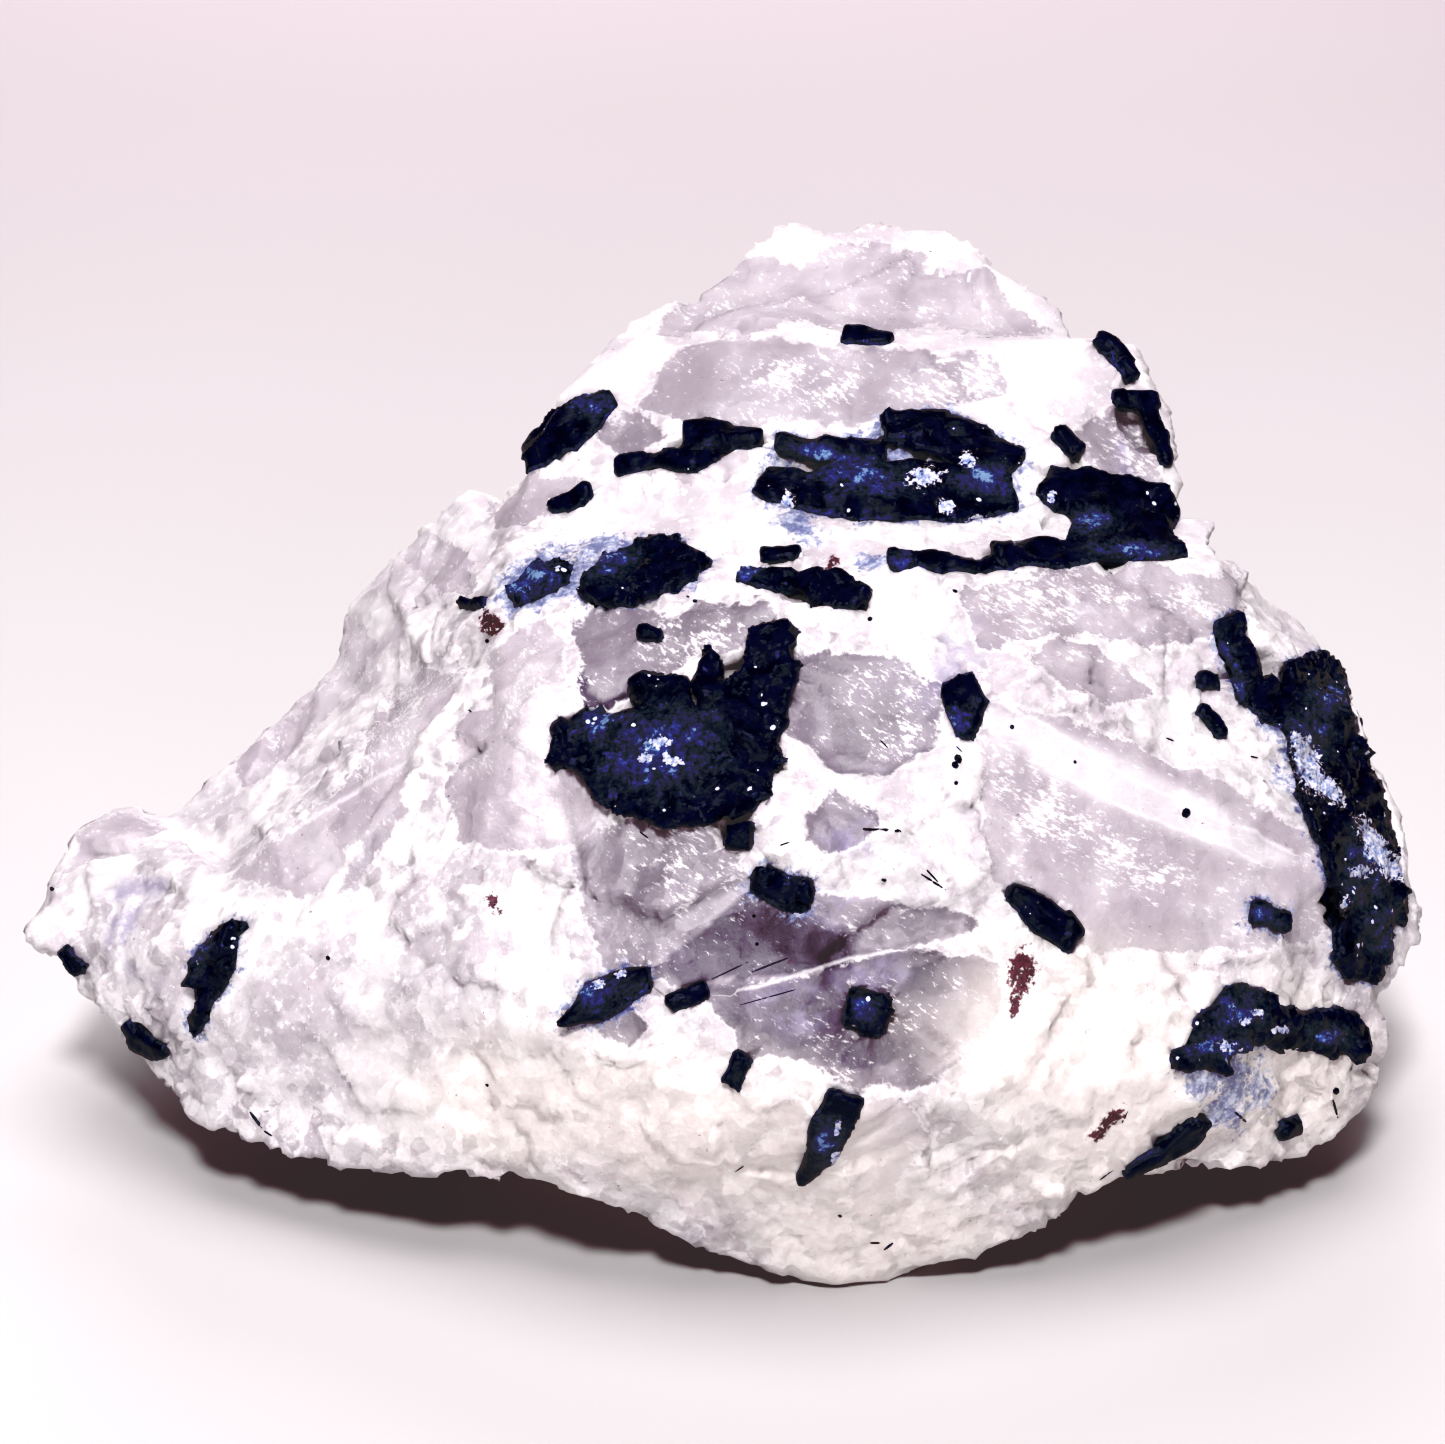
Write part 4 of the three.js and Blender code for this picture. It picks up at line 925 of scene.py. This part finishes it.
def skin_shape(shapes, rng):
    """The quartz's broken surface, closed up to its crystals, and the marks on it."""
    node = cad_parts["quartz"]
    points, quads = remeshed(corners_of(node.data) / MM, faces_of(node.data), SKIN_VOXEL)
    points = relaxed(points, quads, *SMOOTHING)
    normals = normals_of(points, quads)
    front, marks = marks_on(points, normals)
    x, y, _ = in_picture(points)
    inside = smooth(*FACET_EDGE, marks["depth"])
    crisp = (1 - FACET_CALM * inside) * (1 - SOFT_CALM * marks["soft"])
    height = crisp * broken(points, SKIN_BREAKS, rng, SKIN_VOXEL)
    uneven = broken(points, FACET_BREAKS, rng, SKIN_VOXEL)
    height += inside * uneven * (1 - front * smooth(-EDGE, EDGE, inside_of(x, y, RIGHT_FACET)))
    height -= FACET_SINK * inside
    height += CREST_HEIGHT * marks["crest_near"] * smooth(CREST_REACH, 0.0, np.abs(marks["crest"]))
    height = terraced(height, x, y, front)
    rest = smooth(*REST_RISE, points[:, 2])
    crystals = crystal_tree(shapes)
    hits = [crystals.find_nearest(p, CRYSTAL_SEARCH) for p in points.tolist()]
    gap = np.array([hit[3] if hit[0] else NOTHING_NEAR for hit in hits])
    calm = LEAST_UNEVEN + (1 - LEAST_UNEVEN) * smooth(*CRYSTAL_CALM, gap)
    points = points + normals * ((height - SHRINK) * rest * calm)[:, None]
    return np.clip(closed_up(points, crystals), BOX_LOW, BOX_HIGH), quads, marks


def crystal_tree(shapes):
    points, faces, start = [], [], 0
    for body, quads, _ in shapes.values():
        points += body.tolist()
        faces += (quads + start).tolist()
        start = len(points)
    return BVHTree.FromPolygons(points, faces)


def closed_up(points, crystals):
    """Walls and rims within reach of a crystal, moved up to it."""
    near, far = CLOSE_UP
    for i, p in enumerate(points.tolist()):
        place, normal, _, gap = crystals.find_nearest(p, far)
        if place is None or (Vector(p) - place).dot(normal) < 0:
            continue
        pull = 1 - float(smooth(near, far, np.array(gap)))
        points[i] = Vector(p).lerp(place - normal * CLOSE_SINK, pull)
    return points


def halo_of(points, shapes):
    """How blue the quartz is round some crystals, from 0 to 1."""
    haze = np.zeros(len(points))
    for name, reach in HALOS.items():
        body, quads, _ = shapes[name]
        tree = BVHTree.FromPolygons(body.tolist(), quads.tolist())
        low, high = body.min(axis=0) - reach, body.max(axis=0) + reach
        for i in np.flatnonzero(((points > low) & (points < high)).all(axis=1)):
            gap = tree.find_nearest(points[i].tolist(), reach)[3]
            if gap is not None:
                haze[i] = max(haze[i], (1 - gap / reach) * HALO_SHARE)
    return haze


def shown_at(x, y, tree):
    """The place on the skin that shows at a pixel, and its slant."""
    place, slant, _, _ = tree.ray_cast(*ray_through(x, y))
    return (np.array(place), np.array(slant)) if place else None


def needle(start, end, width, tree):
    """A thin prism laid along the skin, thinner at both ends, as its points and faces."""
    (x0, y0), (x1, y1) = start, end
    line = np.linspace(0, 1, NEEDLE_STOPS)
    stops = [shown_at(x0 + t * (x1 - x0), y0 + t * (y1 - y0), tree) for t in line]
    if None in stops:
        return [], []
    points, faces = [], []
    along = stops[-1][0] - stops[0][0]
    along /= np.linalg.norm(along) + TINY
    last = len(stops) - 1
    for k, (place, slant) in enumerate(stops):
        half = NEEDLE_TIP if k in (0, last) else NEEDLE_HALF
        side = np.cross(slant, along)
        for turn in range(NEEDLE_SIDES):
            angle = turn * 2 * math.pi / NEEDLE_SIDES
            out = side * math.cos(angle) + slant * (math.sin(angle) * NEEDLE_FLATNESS + NEEDLE_LIFT)
            points.append(place + width * half * out)
    for k in range(last):
        ring, following = NEEDLE_SIDES * k, NEEDLE_SIDES * (k + 1)
        for turn in range(NEEDLE_SIDES):
            after = (turn + 1) % NEEDLE_SIDES
            faces.append((ring + turn, following + turn, following + after, ring + after))
    faces.append(tuple(range(NEEDLE_SIDES)))
    faces.append(tuple(NEEDLE_SIDES * last + turn for turn in reversed(range(NEEDLE_SIDES))))
    return points, faces


def loose_grains(tree):
    """Needles and specks of tourmaline too small to be solids, as one mesh."""
    specks = [
        ((x - size * SPECK_REACH, y), (x + size * SPECK_REACH, y + SPECK_SLOPE), size)
        for x, y, size in SPECKS
    ]
    points, faces = [], []
    for start, end, width in NEEDLES + specks:
        more, sides = needle(start, end, width, tree)
        faces += [tuple(i + len(points) for i in side) for side in sides]
        points += more
    return np.array(points), np.array(faces)


# Pieces


def made_object(name, points, faces, material, attributes):
    piece = mesh_object(name, (points * MM).tolist(), faces.tolist())
    for title, kind, values in attributes:
        layer = piece.data.attributes.new(title, kind, "POINT")
        layer.data.foreach_set(ATTRIBUTE_FIELDS[kind], np.ascontiguousarray(values, np.float32).ravel())
    piece.data.materials.append(material)
    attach(piece, "root")
    return piece


def crystal_marks(x, y, gap, stripes, granular):
    """What the tourmaline's look follows, at each point."""
    grain = np.full(len(gap), float(granular))
    blue, windows = spots(x, y, BLUE, soft=0.8), spots(x, y, WINDOWS, soft=0.9)
    marks = np.stack([smooth(*RIM, gap), blue, windows, grain], 1)
    return [("lay", "FLOAT_VECTOR", stripes), ("marks", "FLOAT_COLOR", marks)]


def quartz_piece(points, quads, marks):
    attributes = [
        (title, "FLOAT_COLOR", np.stack([marks[name] for name in names], 1))
        for title, names in SKIN_ATTRIBUTES.items()
    ]
    piece = made_object("quartz_skin", points, quads, quartz_material(), attributes)
    piece.data.shade_smooth()
    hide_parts("quartz")


def build():
    noise.seed_set(SEED)
    rng = np.random.default_rng(SEED)
    shapes = crystal_shapes(rng)
    points, quads, marks = skin_shape(shapes, rng)
    marks["haze"] = np.clip(halo_of(points, shapes) + marks["blue"], 0, 1)
    quartz_piece(points, quads, marks)
    skin = BVHTree.FromPolygons(points.tolist(), quads.tolist())
    tourmaline = tourmaline_material()
    for name, (body, faces, lay) in shapes.items():
        gap = np.array([skin.find_nearest(p)[3] for p in body.tolist()])
        x, y, _ = in_picture(body)
        marks = crystal_marks(x, y, gap, lay * STRIPE_LIE, name in GRANULAR)
        piece = made_object(name + "_grown", body, faces, tourmaline, marks)
        piece.data.shade_smooth()
        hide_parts(name)
    grains, faces = loose_grains(skin)
    plain = np.zeros(len(grains))
    marks = crystal_marks(plain, plain, plain + NOTHING_NEAR, grains, False)
    piece = made_object("tourmaline_grains", grains, faces, tourmaline, marks)


# Studio


def floor_material():
    """Pale and plain, with a painted glow far from the object, standing in for lamplight where the lamps
    don't reach.
    """
    m = Nodes("floor")
    place = m.millimetres()
    away = m.vector("LENGTH", m.vector("SUBTRACT", place, FLOOR_MIDDLE))
    near = m.level(m.add("SeparateXYZ", in_Vector=place).outputs["Y"], "floor near")
    m.surface(
        Base_Color=m.mix(near, colour("floor far"), colour("floor near")),
        Emission_Strength=m.times(m.level(away, "floor glow"), FLOOR_GLOW),
        Emission_Color=colour("floor glow"),
        Roughness=0.9,
    )
    return m.material


def floor():
    corners = [(x * FLOOR_REACH, y * FLOOR_REACH, 0) for x, y in ((-1, -1), (1, -1), (1, 1), (-1, 1))]
    made = mesh_object("floor", corners, [(0, 1, 2, 3)])
    made.data.materials.append(floor_material())


def area_light(name, place, target, size, power, tint, glints):
    light = bpy.data.lights.new(name, "AREA")
    light.shape = "DISK"
    light.size = size
    light.energy = power
    light.color = tint
    lamp = linked(name, light)
    lamp.location = place
    lamp.rotation_euler = (Vector(target) - Vector(place)).to_track_quat("-Z", "Y").to_euler()
    lamp.visible_glossy = glints


def studio():
    world = bpy.data.worlds.new("studio")
    bpy.context.scene.world = world
    world.use_nodes = True
    background = world.node_tree.nodes["Background"]
    background.inputs["Color"].default_value = colour("room")
    background.inputs["Strength"].default_value = ROOM_LIGHT
    for name, settings in LAMPS.items():
        area_light(name, *settings)
    view = bpy.context.scene.view_settings
    view.view_transform = "Standard"
    view.gamma = GAMMA
    view.use_curve_mapping = True
    for channel, shadow in zip(view.curve_mapping.curves, SHADOW_TONES):
        for tone, shown in sorted(TONES + [(SHADOW, shadow)]):
            channel.points.new(tone, shown)
    view.curve_mapping.update()


def camera():
    data = bpy.data.cameras.new("camera")
    data.sensor_width = SENSOR
    data.lens = SENSOR * EYE_DISTANCE / (PHOTO_WIDTH * PIXEL)
    data.clip_start, data.clip_end = CLIP
    cam = linked("camera", data)
    cam.location = (DATUM + NEAR * EYE_DISTANCE) * MM
    cam.rotation_euler = Vector(-NEAR).to_track_quat("-Z", "Y").to_euler()
    bpy.context.scene.camera = cam


build()
floor()
studio()
camera()
